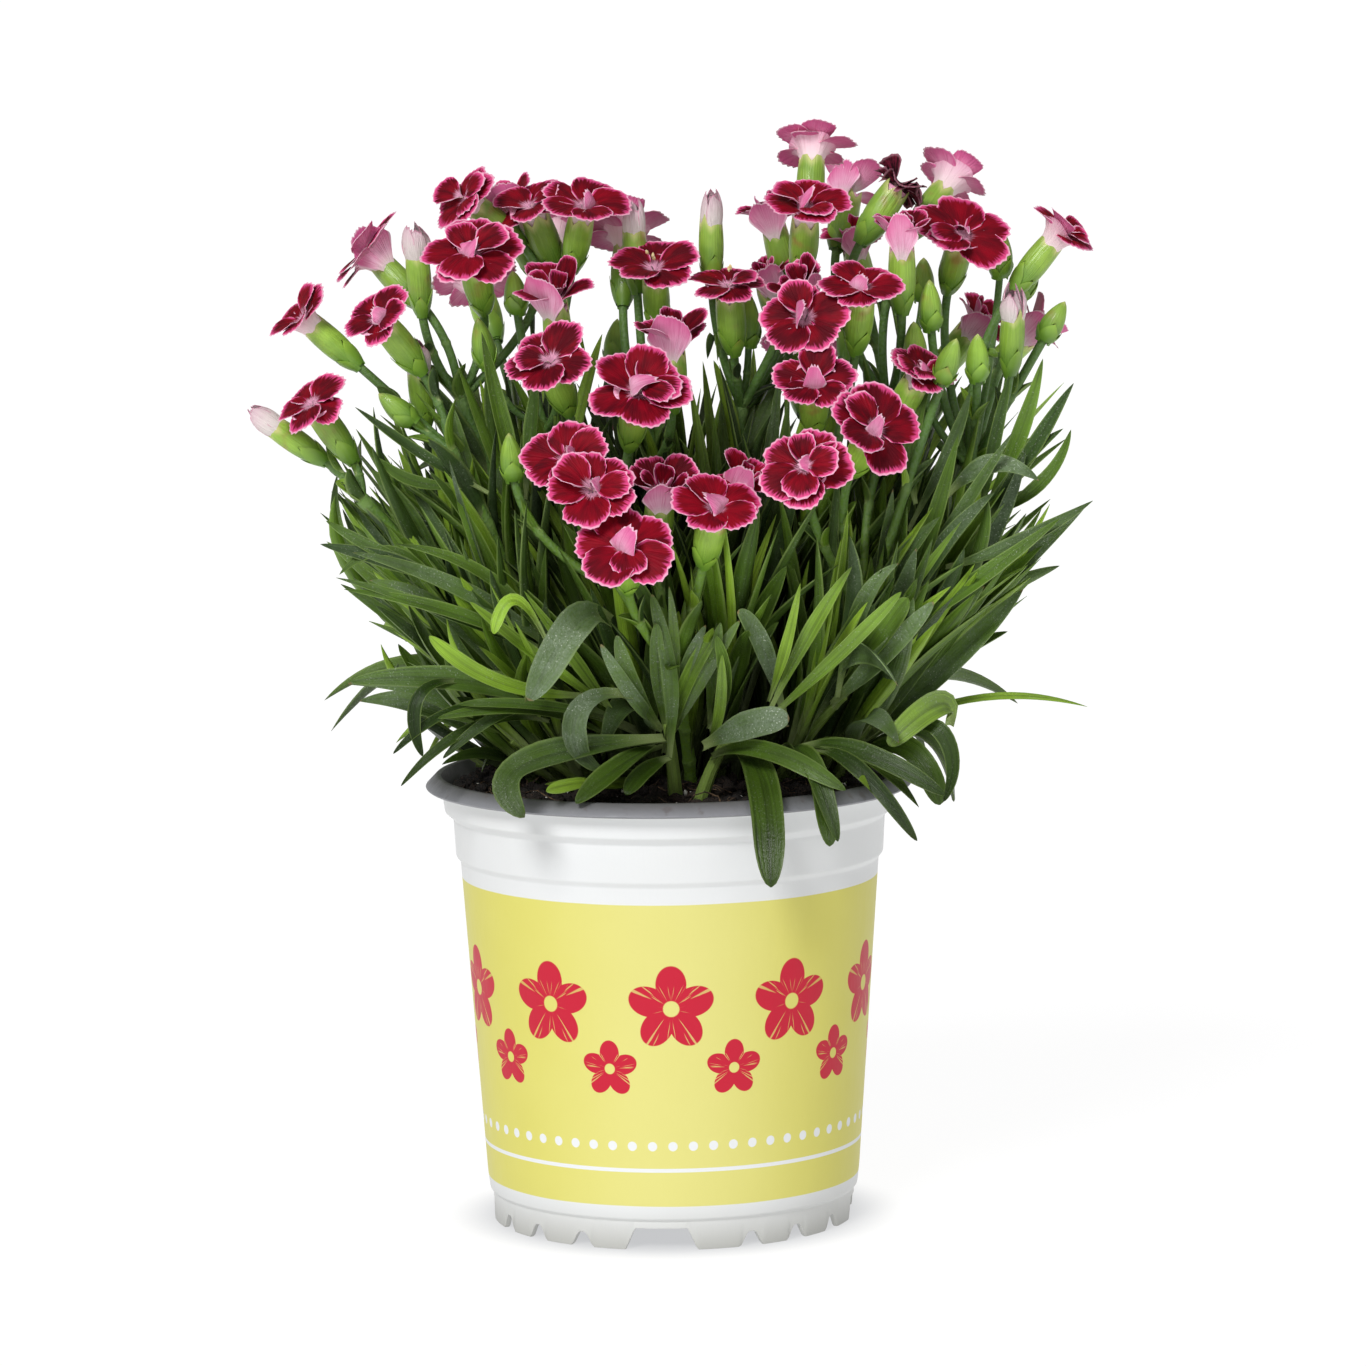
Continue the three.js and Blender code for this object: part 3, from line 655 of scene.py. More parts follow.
ground = [
    make_peat(),
    make_lumps("peat_crumbs", PEAT, 11, count=1200, smallest=0.5, largest=2.4, reach=51.5),
    make_lumps("perlite_grains", PERLITE, 12, count=170, smallest=0.25, largest=1.0, reach=49.5, sink=0.7),
    make_fibres(count=120, seed=13),
]
print("quads in the ground:", {piece.name: len(piece.data.polygons) for piece in ground})

# %% [markdown]
# ## The plan of the plant
#
# Where every stem, flower, bud and leaf goes was chosen when the solids were made. The same places are
# listed here, so that each fine piece grows exactly where its solid stands. A stem has a root in the peat
# and a fork; from the fork branches run to open flowers, half-open cups and buds. Directions are a turn
# and a rise, as above.

# %% The plan: x, y, z in mm
# open, cups, tufts, faded: middle of the petals, turn, rise, radius. buds: middle, turn, rise.
# leaves, blades: tip, arch, width.
STEMS = [
    {
        "root": (-28, 8), "fork": (-74, -9, 180),
        "open": [(-86, -10, 204, -75, 55, 10)],
        "tufts": [(-98, -2, 199, -90, 35, 4)],
        "leaves": [(-71, 12, 191, 4, 5)],
    },
    {
        "root": (-23, 3), "fork": (-52, -14, 192),
        "open": [(-88, -2, 224, -90, 42, 9.5), (-69, -17, 225, -60, 50, 9.5)],
        "tufts": [(-60, -7, 214, -15, 70, 4)],
        "buds": [(-66, -12, 203, -85, 40)],
        "leaves": [(-57, -24, 188, 4, 5)],
    },
    {
        "root": (-24, 13), "fork": (-50, 4, 203),
        "open": [(-48, 6, 252, -80, 40, 10), (-46, -15, 239, -12, 50, 12.5), (-71, 10, 238, -115, 42, 12)],
        "tufts": [(-60, -1, 242, -20, 80, 4.6)],
        "leaves": [(-45, 0, 208, 2, 5), (-64, 25, 182, 8, 5)],
    },
    {
        "root": (-16, 13), "fork": (-29, 3, 195),
        "open": [(-32, 4, 250, -40, 60, 11), (-19, -1, 250, 20, 60, 11.5)],
        "cups": [(-38, 18, 247, -60, 60, 9), (-26, -20, 229, -10, 68, 9)],
        "buds": [(-36, -6, 231, -20, 75)],
        "leaves": [(-36, 8, 216, 2, 5), (-15, 10, 218, 2, 5)],
    },
    {
        "root": (2, 12), "fork": (-3, 3, 188),
        "open": [(-2, -5, 235, -5, 58, 11.5), (-9, 19, 241, 175, 60, 11.5)],
        "cups": [(2, -28, 219, 0, 70, 8.5)], "tufts": [(-7, 4, 247, -30, 85, 3.4)],
        "leaves": [(9, -12, 206, 2, 5), (-12, 16, 200, 3, 5)],
    },
    {
        "root": (-2, 7), "fork": (-15, -22, 160),
        "open": [(-27, -38, 215, -18, 45, 11), (-6, -45, 208, 12, 50, 12.5), (-23, -50, 192, -15, 38, 11)],
        "buds": [(-37, -24, 192, -30, 80)],
        "leaves": [(-35, -4, 188, 4, 5)],
    },
    {
        "root": (6, 3), "fork": (2, -32, 140),
        "open": [(-17, -60, 186, -5, 40, 11.5), (-9, -68, 173, 0, 38, 12.5), (12, -55, 181, 15, 52, 11)],
        "cups": [(-1, -44, 184, 5, 50, 8), (19, -32, 185, 40, 50, 6)],
        "leaves": [(14, -22, 160, 3, 5)],
    },
    {
        "root": (10, 10), "fork": (19, 6, 200),
        "open": [(37, 4, 263, 170, 67, 10.5), (35, -11, 249, 8, 64, 11), (16, -10, 231, -10, 68, 10)],
        "cups": [(27, 15, 246, -60, 75, 5), (25, 13, 231, -40, 60, 7)],
        "tufts": [(12, -2, 249, 0, 85, 3.2)],
        "leaves": [(14, 2, 202, 3, 5), (28, 8, 205, 2, 5)],
    },
    {
        "root": (33, 13), "fork": (55, 14, 200),
        "open": [(71, 20, 254, 130, 45, 10)],
        "cups": [(47, 30, 252, 160, 50, 8), (58, -14, 242, 0, 82, 7), (47, 19, 240, -30, 65, 6)],
        "faded": [(59, 9, 255, 100, 55, 7)],
        "leaves": [(73, 17, 200, 4, 5), (45, 22, 205, 2, 5)],
    },
    {
        "root": (29, 10), "fork": (36, -4, 172),
        "open": [(48, -25, 231, 10, 62, 11), (34, -30, 224, -8, 35, 11), (36, -38, 209, 0, 42, 10.5)],
        "cups": [(33, -16, 230, -30, 45, 7)],
        "leaves": [(22, 8, 190, 2, 5), (44, 2, 190, 2, 6)],
    },
    {
        "root": (33, 7), "fork": (48, -24, 150),
        "open": [(50, -45, 198, 22, 38, 12.5), (33, -56, 190, -5, 32, 11.5), (62, -21, 210, 35, 50, 9)],
        "buds": [(69, -26, 214, 45, 65)],
        "leaves": [(60, -16, 184, 3, 6), (66, -32, 176, 4, 6)],
    },
    {
        "root": (37, 11), "fork": (75, 0, 185),
        "open": [(73, -5, 242, 15, 50, 12.5), (97, 0, 242, 100, 50, 9.5)],
        "cups": [(78, 25, 219, 60, 50, 7), (92, 18, 217, 90, 40, 6)],
        "tufts": [(85, -14, 226, 10, 75, 4)],
        "buds": [
            (90, 10, 232, 60, 70), (65, -8, 226, -10, 80), (76, -16, 214, 0, 75), (96, -4, 222, 80, 60),
        ],
        "leaves": [(99, 8, 191, 3, 5), (99, 18, 204, 3, 5), (84, 14, 208, 2, 5)],
    },
    {
        "root": (-10, 18), "fork": (-30, 36, 170),
        "open": [(-47, 47, 229, -155, 50, 11), (-27, 44, 241, 175, 60, 11)],
        "cups": [(-30, 58, 203, 170, 45, 8)],
        "buds": [(-12, 44, 215, 160, 75)],
        "leaves": [(-50, 50, 180, 6, 6)],
    },
    {
        "root": (24, 18), "fork": (35, 38, 165),
        "open": [(35, 55, 209, 180, 50, 11), (54, 50, 190, 140, 45, 11), (-6, 52, 197, -170, 45, 11)],
        "cups": [(50, 46, 225, 150, 60, 7)],
        "buds": [(66, 40, 205, 120, 65)],
        "leaves": [(62, 48, 170, 6, 6)],
    },
]
SHOOTS = [
    {
        "root": (-31, 4), "top": (-39, 0, 121),
        "blades": [
            (-55, -22, 116, 9, 5), (-76, 0, 129, 12, 7), (-78, -14, 135, 13, 8.5), (-56, -33, 129, 7, 5),
            (-51, -26, 133, 5, 5), (-70, -30, 156, 6, 4.5), (-79, -18, 160, 6, 5),
        ],
    },
    {
        "root": (-30, 12), "top": (-50, 9, 138),
        "blades": [
            (-78, 13, 160, 6, 8), (-83, -4, 169, 6, 5), (-85, 7, 175, 7, 5.5), (-83, 20, 179, 8, 6),
            (-79, -8, 184, 10, 6), (-71, -21, 188, 12, 6),
        ],
    },
    {
        "root": (-19, -1), "top": (-33, -14, 130),
        "blades": [
            (-34, -46, 134, 30, 9), (-45, -40, 147, 4, 5), (-36, -50, 154, 4, 6), (-71, -38, 163, 16, 7),
            (-42, -46, 163, 4, 6), (-29, -40, 158, 3, 5), (-50, -30, 181, 6, 6),
        ],
    },
    {
        "root": (-2, 1), "top": (-5, -6, 117),
        "blades": [
            (-30, -30, 112, 2, 5), (-22, -42, 114, 3, 7), (-34, -55, 118, 12, 9), (-16, -40, 120, 26, 7),
            (-14, -15, 146, 3, 4.5), (-1, -31, 158, 4, 6),
        ],
    },
    {
        "root": (12, 4), "top": (13, -12, 126),
        "blades": [
            (24, -67, 92, 34, 9), (29, -42, 127, 5, 9), (18, -32, 144, 8, 7), (12, -33, 151, 5, 6),
            (21, -27, 156, 4, 6), (27, -31, 151, 6, 6), (29, -36, 165, 4, 6), (6, -36, 165, 4, 5),
        ],
    },
    {
        "root": (28, 3), "top": (33, -12, 122),
        "blades": [
            (38, -63, 101, 26, 6.5), (48, -54, 113, 14, 6),
            (60, -42, 107, 16, 5.5), (55, -46, 137, 30, 9), (48, -45, 157, 5, 6.5), (42, -42, 172, 5, 6),
        ],
    },
    {
        "root": (39, 5), "top": (50, -2, 122),
        "blades": [
            (66, -18, 104, 26, 7), (70, -6, 103, 26, 7), (55, -52, 124, 16, 8), (103, -5, 126, 12, 3),
            (87, -12, 156, 1, 8.5), (77, -22, 158, 3, 8),
        ],
    },
    {
        "root": (41, 12), "top": (56, 4, 136),
        "blades": [
            (59, -45, 158, 3, 7), (60, -38, 169, 3, 7), (104, 6, 175, 3, 8), (89, -15, 181, 16, 6),
            (82, -24, 182, 4, 6), (55, -24, 182, 3, 7),
        ],
    },
    {
        "root": (-24, 19), "top": (-40, 28, 130),
        "blades": [
            (-61, 24, 111, 26, 5), (-69, 41, 113, 18, 4.5), (-85, 35, 117, 34, 7), (-55, 70, 116, 26, 7),
            (-86, 26, 126, 22, 5), (-36, 76, 134, 16, 7), (-66, 58, 150, 10, 7), (-78, 31, 178, 8, 6),
        ],
    },
    {
        "root": (4, 19), "top": (3, 32, 132),
        "blades": [
            (-12, 72, 106, 28, 8), (22, 76, 118, 22, 8), (4, 78, 136, 14, 7), (-22, 66, 158, 6, 7),
            (20, 68, 164, 5, 7), (2, 58, 180, 4, 6),
        ],
    },
    {
        "root": (35, 18), "top": (48, 28, 130),
        "blades": [
            (66, 60, 106, 26, 7), (88, 34, 122, 20, 7), (44, 77, 126, 20, 8), (84, 52, 146, 10, 7),
            (60, 66, 160, 6, 7), (98, 22, 158, 8, 6), (78, 36, 180, 4, 6),
        ],
    },
]
KINDS = ("open", "cups", "tufts", "faded", "buds")
for stem in STEMS:
    stem.update({kind: stem.get(kind, []) for kind in KINDS})
print(len(STEMS), "stems,", len(SHOOTS), "shoots")
print("on the stems:", {kind: sum(len(stem[kind]) for stem in STEMS) for kind in KINDS})

# %% Paths that stems and shoots share
ROOT_HEIGHT = 99.5
STEM_RADIUS = 1.6
SHOOT_RADIUS = 2.2
BRANCH_RADIUS = 1.1
THROAT = 4.2  # from a calyx's mouth to the flat of the petals
CALYX_LENGTH = 14.5
CALYX_TOOTH = 3.2
CALYX_RADIUS = 3.9
BUD_LENGTH = 14.0
BUD_RADIUS = 3.2


def stalk_path(root, end, t):
    """A stalk leaves the peat steeply and leans towards its end."""
    start, end = np.array([*root, ROOT_HEIGHT]), np.array(end, float)
    bend = start + (end - start) * (0.35, 0.35, 0.6)
    return bent(start, bend, end, t)


def calyx_base(flower):
    """A calyx's foot: from the petals' middle, back along the axis by throat and calyx."""
    return np.array(flower[:3], float) - direction(*flower[3:5]) * (THROAT + CALYX_LENGTH)


def bud_base(bud):
    """A bud's foot: half its length back along the axis from its middle."""
    return np.array(bud[:3], float) - direction(*bud[3:5]) * BUD_LENGTH / 2


def branch_path(fork, base, axis, t):
    """A branch leaves the fork and arrives along the axis of what it carries, a little inside it."""
    fork = np.array(fork, float)
    bend = base - axis * 0.45 * np.linalg.norm(base - fork)
    return bent(fork, bend, base + axis * 3.0, t)


print("paths ready")

# %% [markdown]
# ## Leaves
#
# A dianthus leaf is a narrow strap with a blunt point: channelled along its middle, a little folded
# where it clasps the stem, and powdered with grey wax that rubs off in patches. Old outer leaves are
# broad and grey, young ones narrow and yellow-green. They stand in opposite pairs, each pair square to
# the last. A strap could be bent with a curve modifier, but here its section is carried along its path
# directly, so every leaf gets its own channel, twist and droop.

# %% Leaf finish
LEAF_GREY = paint(120, 138, 110)
LEAF_GREEN = paint(92, 126, 28)
LEAF_DEEP = paint(40, 66, 14)
LEAF_BRIGHT = paint(160, 200, 62)
WAX_HEIGHTS = (0.102, 0.130)  # no wax below, whole above; these three are in metres
# Painted shade: leaves darken towards the peat below these heights.
PEAT_SHADE_HEIGHTS = (0.100, 0.160)  # darkest below, untouched above
OPEN_HEIGHTS = (0.150, 0.215)  # above, the clump opens out and even its middle gets light


def leaf_finish():
    """Green by tone, streaked along, paler at the base, with a painted highlight along the rim and painted
    shade in the channel, powdered with wax that breaks up into specks. Painted shade darkens the inside
    of the clump: the share of the clump's reach at which a point lies turns its colour down, and so does
    nearness to the peat."""
    finish = Finish("leaf", 0.5, Specular_IOR_Level=0.34)
    place = finish.place()
    across, along = finish.chart()
    tone, wax = finish.mark("tone"), finish.mark("wax")
    green = tone.rise(0.0, 0.5).blend(LEAF_DEEP, LEAF_GREEN)
    green = tone.rise(0.5, 1.0).blend(green, LEAF_BRIGHT)
    lines = finish.streaks(across * 22.0, along * 1.5, tone * 90.0, 3.0)
    clouds = finish.noise(place, 70.0, 2.0)
    green = green.scaled(lines * 1.3 + clouds * 1.1 - 0.32)
    beside = abs(across * 2.0 - 1.0)
    # painted shade in the leaf's channel
    green = green.scaled(1.0 - beside.rise(0.3, 0.0) * 0.25)
    # painted highlight along the leaf's rim
    green = (beside.rise(0.8, 0.97) * 0.4).blend(green, paint(152, 178, 92))
    pale = along.rise(0.22, 0.0) * 0.75
    green = pale.blend(green, paint(184, 204, 134))
    patches = finish.noise(place, 130.0, 3.0).rise(0.36, 0.6)
    powder = finish.noise(place, 1500.0, 3.0).rise(0.3, 0.7) * 0.5 + 0.5
    x, y, z = finish.split(place)
    bloom = wax * (patches * 0.5 + 0.5) * powder * along.rise(0.05, 0.3) * z.rise(*WAX_HEIGHTS)
    colour = bloom.blend(green, LEAF_GREY)
    specks = finish.noise(place, 2300.0, 2.0).rise(0.62, 0.7) * patches * (wax * 0.6 + 0.15)
    colour = specks.blend(colour, paint(206, 214, 196))
    dry = (along + (finish.noise(place, 400.0) - 0.5) * 0.05).rise(0.978, 0.992) * wax.rise(0.3, 0.7)
    colour = (dry * 0.7).blend(colour, paint(150, 126, 84))
    # painted shade: darker towards the middle of the clump and near the peat
    reach = ((x - 0.007) ** 2.0 + ((y - 0.014) / 0.7) ** 2.0) ** 0.5 / (z * 0.25 + 0.03)
    outer = reach.rise(0.3, 1.0).sum("MAXIMUM", z.rise(*OPEN_HEIGHTS) * 0.6)
    colour = colour.scaled(outer * 0.84 + 0.24).scaled(z.rise(*PEAT_SHADE_HEIGHTS) * 0.58 + 0.42)
    return finish.cover(colour, bloom * 0.25 + lines * 0.3 + 0.2, lines * 0.7 + powder * 0.3, 0.0003)


LEAF = leaf_finish()
print("leaf finish ready")

# %% Leaf shape
FINE_LEAF = (19, 7)  # stations along, points across
PLAIN_LEAF = (12, 5)
LEAF_THICKNESS = 0.9


def leaf_grid(
    curve, across, width, rng, size=PLAIN_LEAF, cup=0.45, twist=0.0, sway=0.0,
    taper=0.4, base=0.6, full=0.35, blunt=0.8,
):
    """A strap carried along a bent curve of three points, or threaded through four.

    With four points `across` is the direction that the face looks in, and the width lies square to it.
    Stations crowd towards the tip. Half width: `base` at the base, whole from `full` of the way, and
    over the last `taper` share, k running 0 to 1 there, times (1 - k^2)^blunt, a rounded point. Across
    it, u from -1 to 1, the section lifts by cup x u^2 and thins by 0.75 u^2. The section turns by twist
    x t^1.3 about the curve.
    """
    stations, columns = size
    t = 1 - (1 - np.linspace(0, 1, stations)) ** 1.6
    if len(curve) == 4:
        path = threaded(np.array(curve, float), t)
        across = unit(np.cross(across, np.gradient(path, axis=0)))
    else:
        path = bent(*curve, t)
    path = path + sway * np.sin(np.pi * t)[:, None] * across
    side, up = path_frames(path, across)
    angle = (twist * t**1.3)[:, None]
    side, up = np.cos(angle) * side + np.sin(angle) * up, np.cos(angle) * up - np.sin(angle) * side
    k = np.clip((t - 1 + taper) / taper, 0, 1)
    half = width / 2 * (base + (1 - base) * eased(t / full)) * np.maximum(1 - k**2, 0.002) ** blunt
    half = half * (1 + 0.04 * np.sin(9 * t + rng.uniform(0, 6)))
    u = np.linspace(-1, 1, columns)
    lift = (cup * (1.4 - t) * half)[:, None] * u**2
    thick = LEAF_THICKNESS / 2 * (1 - 0.75 * u**2) * np.clip(half / 1.2, 0.12, 1)[:, None]
    line = path[:, None] + half[:, None, None] * u[:, None] * side[:, None]
    face = line + (lift + thick)[..., None] * up[:, None]
    underside = line + (lift - thick)[..., None] * up[:, None]
    ring = np.concatenate([face[:, ::-1], underside], axis=1)
    chart = (u + 1) / 2
    return ring, np.concatenate([chart[::-1], chart]), t[:, None]


def add_leaf(skin, curve, across, width, rng, tone, wax, **shape):
    """One leaf, shaped by leaf_grid(). Tone runs from old green to young, wax from none to full."""
    ring, over, along = leaf_grid(curve, across, width, rng, **shape)
    skin.add(ring, over, along, tone=tone, wax=wax)


print("leaf shape ready:", skin_quads(PLAIN_LEAF[0], 2 * PLAIN_LEAF[1]).shape[0], "quads in a plain leaf")

# %% Leaves of the plan
HANGS_BELOW = 105.0  # a leaf whose tip is lower than this hangs over the rim, mm


def planned_leaves(skin, path, tips, first, last, outlook, rng):
    """The leaves of the plan: each starts along its stalk, in order, and bends over its arch to its tip.
    Its face looks towards `outlook`, so its width lies square to that and to its own length. A leaf that
    hangs over the rim is an old one, with a narrow base, a blunt end and little wax."""
    for k, (x, y, z, arch, width) in enumerate(tips):
        t = first + (last - first) * k / max(1, len(tips) - 1)
        start, tip = path([t])[0], np.array([x, y, z], float)
        start = start + unit((tip - start) * (1, 1, 0))
        hangs = z < HANGS_BELOW
        share, lift = (0.8, 0.85 * arch) if hangs else (0.5, arch)
        middle = start + (tip - start) * (share, share, 0.5) + UP * lift
        facing = unit(outlook + rng.normal(0, 0.25, 3))
        across = unit(np.cross(facing, tip - start))
        young = rng.random() < (0.1 if width >= 7 else 0.4) and not hangs
        tone = rng.uniform(0.8, 1.0) if young else rng.uniform(0.15, 0.65)
        grey = rng.uniform(0.4, 1.0) if width >= 7 else rng.uniform(0.0, 0.4)
        wax = (rng.uniform(0.0, 0.12) if young else grey) * (0.25 if hangs else 1.0)
        taper = 0.16 if hangs else rng.uniform(0.4, 0.7)
        shape = dict(cup=rng.uniform(0.35, 0.6), twist=rng.normal(0, 0.3), sway=rng.normal(0, 1.0))
        if hangs:
            shape.update(base=0.4, full=0.6, blunt=0.5)
        wide = width * (0.72 if young else 0.84)
        curve = (start, middle, tip)
        add_leaf(skin, curve, across, wide, rng, tone, wax, size=FINE_LEAF, taper=taper, **shape)


print("planned leaves ready")

# %% Leaves in crossed pairs
HEART = np.array([4.0, 10.0, 48.0])  # the leaves fan out from here
CLUMP_MIDDLE = np.array([7.0, 6.0])
CLUMP_HEIGHTS = (112, 130, 160, 195, 232)
CLUMP_REACHES = (62, 74, 85, 91, 88)
CLUMP_DEPTH = 0.64  # its depth to its width
LEAF_FLOOR, LEAF_CEILING = 113.0, 212.0
STEM_JOINTS = (0.16, 0.32, 0.54, 0.76, 0.985)  # where along a stem its joints are
ANY_TONE = (0.0, 0.62)
LEAF_PAIRS = {  # places on the stalk, lengths, spreads and widths from the first to the last, fan, tones
    "shoot": ((0.45, 0.65, 0.82, 0.95), (84, 62), (0.32, 0.12), (5.0, 4.0), 0.8, ANY_TONE),
    "side shoot": ((0.4, 0.65, 0.9), (80, 56), (0.36, 0.12), (4.8, 3.6), 0.8, ANY_TONE),
    "tall shoot": ((0.5, 0.7, 0.85, 1.0), (76, 60), (0.35, 0.12), (4.6, 3.8), 0.6, ANY_TONE),
    "skirt": ((0.3, 0.4, 0.5), (52, 46), (1.15, 0.9), (5.4, 5.0), 0.0, (0.0, 0.35)),
    "thicket": ((0.2, 0.35, 0.5, 0.66, 0.82, 1.0), (64, 54), (0.5, 0.14), (5.0, 4.0), 0.3, (0.0, 0.4)),
    "stem": (STEM_JOINTS[:4], (78, 40), (0.34, 0.26), (5.2, 4.2), 0.3, ANY_TONE),
    "fork": (STEM_JOINTS[4:], (14, 14), (0.5, 0.5), (3.6, 3.6), 0.0, ANY_TONE),
    "branch": ((0.5,), (9, 9), (0.3, 0.3), (2.6, 2.6), 0.0, ANY_TONE),
}


def within_clump(tip):
    """Draws a leaf's tip in to the clump's outline, an oval that widens upwards, and keeps it off the
    peat."""
    reach = np.interp(tip[2], CLUMP_HEIGHTS, CLUMP_REACHES) * np.array([1.0, CLUMP_DEPTH])
    off = (tip[:2] - CLUMP_MIDDLE) / reach
    flat = CLUMP_MIDDLE + off / max(1.0, math.hypot(*off)) * reach
    return np.array([*flat, min(max(tip[2], LEAF_FLOOR), LEAF_CEILING)])


def paired_leaves(skin, path, kind, rng, skip=0.0):
    """Opposite leaves up a stalk, each pair square to the last; a leaf is left out at the chance `skip`.

    A pair's lead is the stalk's own direction, drawn by `fan` away from the plant's heart. Each leaf
    follows the lead at first, then bends away from it by its spread, with its hollow face towards the
    stalk. Length, spread and width run from the first of each pair of numbers to the second, up the
    stalk.
    """
    places, lengths, spreads, widths, fan, tones = LEAF_PAIRS[kind]
    turn = rng.uniform(0, np.pi)
    for share, t in enumerate(places):
        share = share / max(1, len(places) - 1)
        here = path([t - 0.02, t, t + 0.02])
        at = here[1]
        lead = unit(unit(here[2] - here[0]) + fan * unit(at - HEART))
        turn += np.pi / 2 + rng.normal(0, 0.3)
        for way in (0, np.pi):
            if rng.random() < skip:
                continue
            out = round_axis(lead, turn + way)
            length = np.interp(share, (0, 1), lengths) * rng.uniform(0.75, 1.15)
            spread = np.interp(share, (0, 1), spreads) * rng.uniform(0.6, 1.5)
            width = np.interp(share, (0, 1), widths) * rng.uniform(0.85, 1.2)
            start = at + out * 0.9
            middle = start + length * 0.5 * unit(lead + out * math.tan(spread * 0.4))
            tip = start + length * (lead * math.cos(spread) + out * math.sin(spread))
            tip = within_clump(tip - UP * length * 0.10 * math.sin(spread))
            tone = rng.uniform(*tones) if rng.random() > 0.12 else rng.uniform(0.7, 1.0)
            wax = rng.uniform(0.0, 0.4) * max(0.0, 1.0 - 1.2 * tone)
            shape = dict(cup=rng.uniform(0.5, 1.0), twist=rng.normal(0, 0.4), taper=rng.uniform(0.4, 0.75))
            add_leaf(skin, (start, middle, tip), np.cross(lead, out), width, rng, tone, wax, **shape)


print("paired leaves ready")

# %% [markdown]
# ## Leaf shoots
#
# The short shoots at the foot of the plant are what makes it dense. Each is a pale stub with the planned
# leaves, pairs of further leaves between them, and a few side shoots that lean with it.

# %% Leaf shoots
SIDE_SHOOTS, TALL_SHOOTS = 5, 2  # for each planned shoot
SIDE_RADIUS = 1.6
TALL_SHOOT = 46.0  # how far a tall one reaches, mm
BEHIND = 15  # roots further back than this carry leaves that look to the back
TO_FRONT = np.array([0.0, -0.75, 0.65])
TO_BACK = np.array([0.0, 0.75, 0.65])


def add_stub(skin, path, radius, tone):
    """The pale foot of a shoot: a tube that tapers to a little over half."""
    t = np.linspace(0, 1, 9)
    lean = level_across(path(t)[-1] - path(t)[0])
    skin.add(tube(path(t), radius * (1.05 - 0.45 * t), 8, lean), mirrored_turn(8), 0.12, tone=tone, wax=0.1)


def make_shoot(number, shoot):
    """A stub with its planned leaves, pairs between them, and side shoots and tall shoots round it."""
    rng = np.random.default_rng(100 + number)
    root, top = shoot["root"], shoot["top"]
    at_back = root[1] > BEHIND
    skin = Gather()

    stalk = partial(stalk_path, root, top)
    add_stub(skin, stalk, SHOOT_RADIUS, tone=0.75)
    planned_leaves(skin, stalk, shoot["blades"], 0.4, 0.95, TO_BACK if at_back else TO_FRONT, rng)
    paired_leaves(skin, stalk, "shoot", rng)
    lean = np.array(top) - (*root, ROOT_HEIGHT)
    for _ in range(SIDE_SHOOTS):
        foot = np.array(root, float) + (rng.normal(0, 4.5), abs(rng.normal(0, 5.0)))
        end = (*foot, ROOT_HEIGHT) + lean * rng.uniform(0.6, 1.4) + rng.normal(0, 6.0, 3) * (1.0, 1.0, 0.6)
        foot = foot * (0.62 if root[0] < 0 else 1.0, 1.0)
        side_stalk = partial(stalk_path, foot, end)
        add_stub(skin, side_stalk, SIDE_RADIUS, tone=0.8)
        paired_leaves(skin, side_stalk, "side shoot", rng)
    for _ in range(TALL_SHOOTS):
        foot = np.array(root, float) * 0.8 + rng.normal(0, 4.0, 2) + (0.0, 6.0)
        away = unit(np.array([*foot, 110.0]) - HEART) * (0.7, 0.7, 1.0)
        end = np.array([*foot, ROOT_HEIGHT]) + away * TALL_SHOOT * rng.uniform(0.8, 1.3)
        tall_stalk = partial(stalk_path, foot, end)
        add_stub(skin, tall_stalk, SIDE_RADIUS, tone=0.5)
        paired_leaves(skin, tall_stalk, "tall shoot", rng)
    if at_back:
        paired_leaves(skin, stalk, "skirt", rng)
    return skin.make(f"shoot_{number:02d}", [LEAF], "leaf", [f"leaf_shoot_{number:02d}"])


shoots = [make_shoot(k + 1, shoot) for k, shoot in enumerate(SHOOTS)]
print("shoots:", sum(len(piece.data.polygons) for piece in shoots), "quads")

# %% The dark middle of the clump
THICKET_LEFT, THICKET_WIDTH = -34, 82  # where the tops of the row start, and how far it runs
THICKET_RADIUS = 1.7


def make_thicket(count, seed):
    """Tall old shoots in a row, as random as the rest, that fill the middle behind and between the
    others."""
    rng = np.random.default_rng(seed)
    skin = Gather()
    for k in range(count):
        x = THICKET_LEFT + THICKET_WIDTH * (k + rng.uniform(0.2, 0.8)) / count
        foot = np.array([0.75 * x, rng.uniform(8, 24)])
        end = np.array([1.15 * x, foot[1] * 1.15 + 2.0, rng.uniform(140, 172) - 0.35 * abs(x - 5)])
        stalk = partial(stalk_path, foot, end)
        add_stub(skin, stalk, THICKET_RADIUS, tone=0.3)
        paired_leaves(skin, stalk, "thicket", rng)
    return skin.make("thicket", [LEAF], "leaf")


thicket = make_thicket(count=14, seed=90)
print("thicket:", len(thicket.data.polygons), "quads")

# %% [markdown]
# ## Leaves that catch the eye
#
# The front of the plant shows two pale crowns just above the peat, with leaves that fan up from them and
# others that fold, curl or hang over the rim. Random pairs never fall like that, so these are given one
# by one. Fans need only their foot, the turns of their first and last leaf and a length. Single leaves
# have a foot, a tip and an arch, like those of the plan. A curl can't be had from an arch, so the few
# leaves that curl are threaded through four points.

# %% Leaves at the front
BLUNT_BELOW = 160.0  # old leaves that end below this height have rounded ends, mm
FRONT_CROWNS = [((2, -18), (0, -28, 126)), ((6, -22), (14, -31, 122))]  # foot, top
CROWN_RADIUS = 2.0
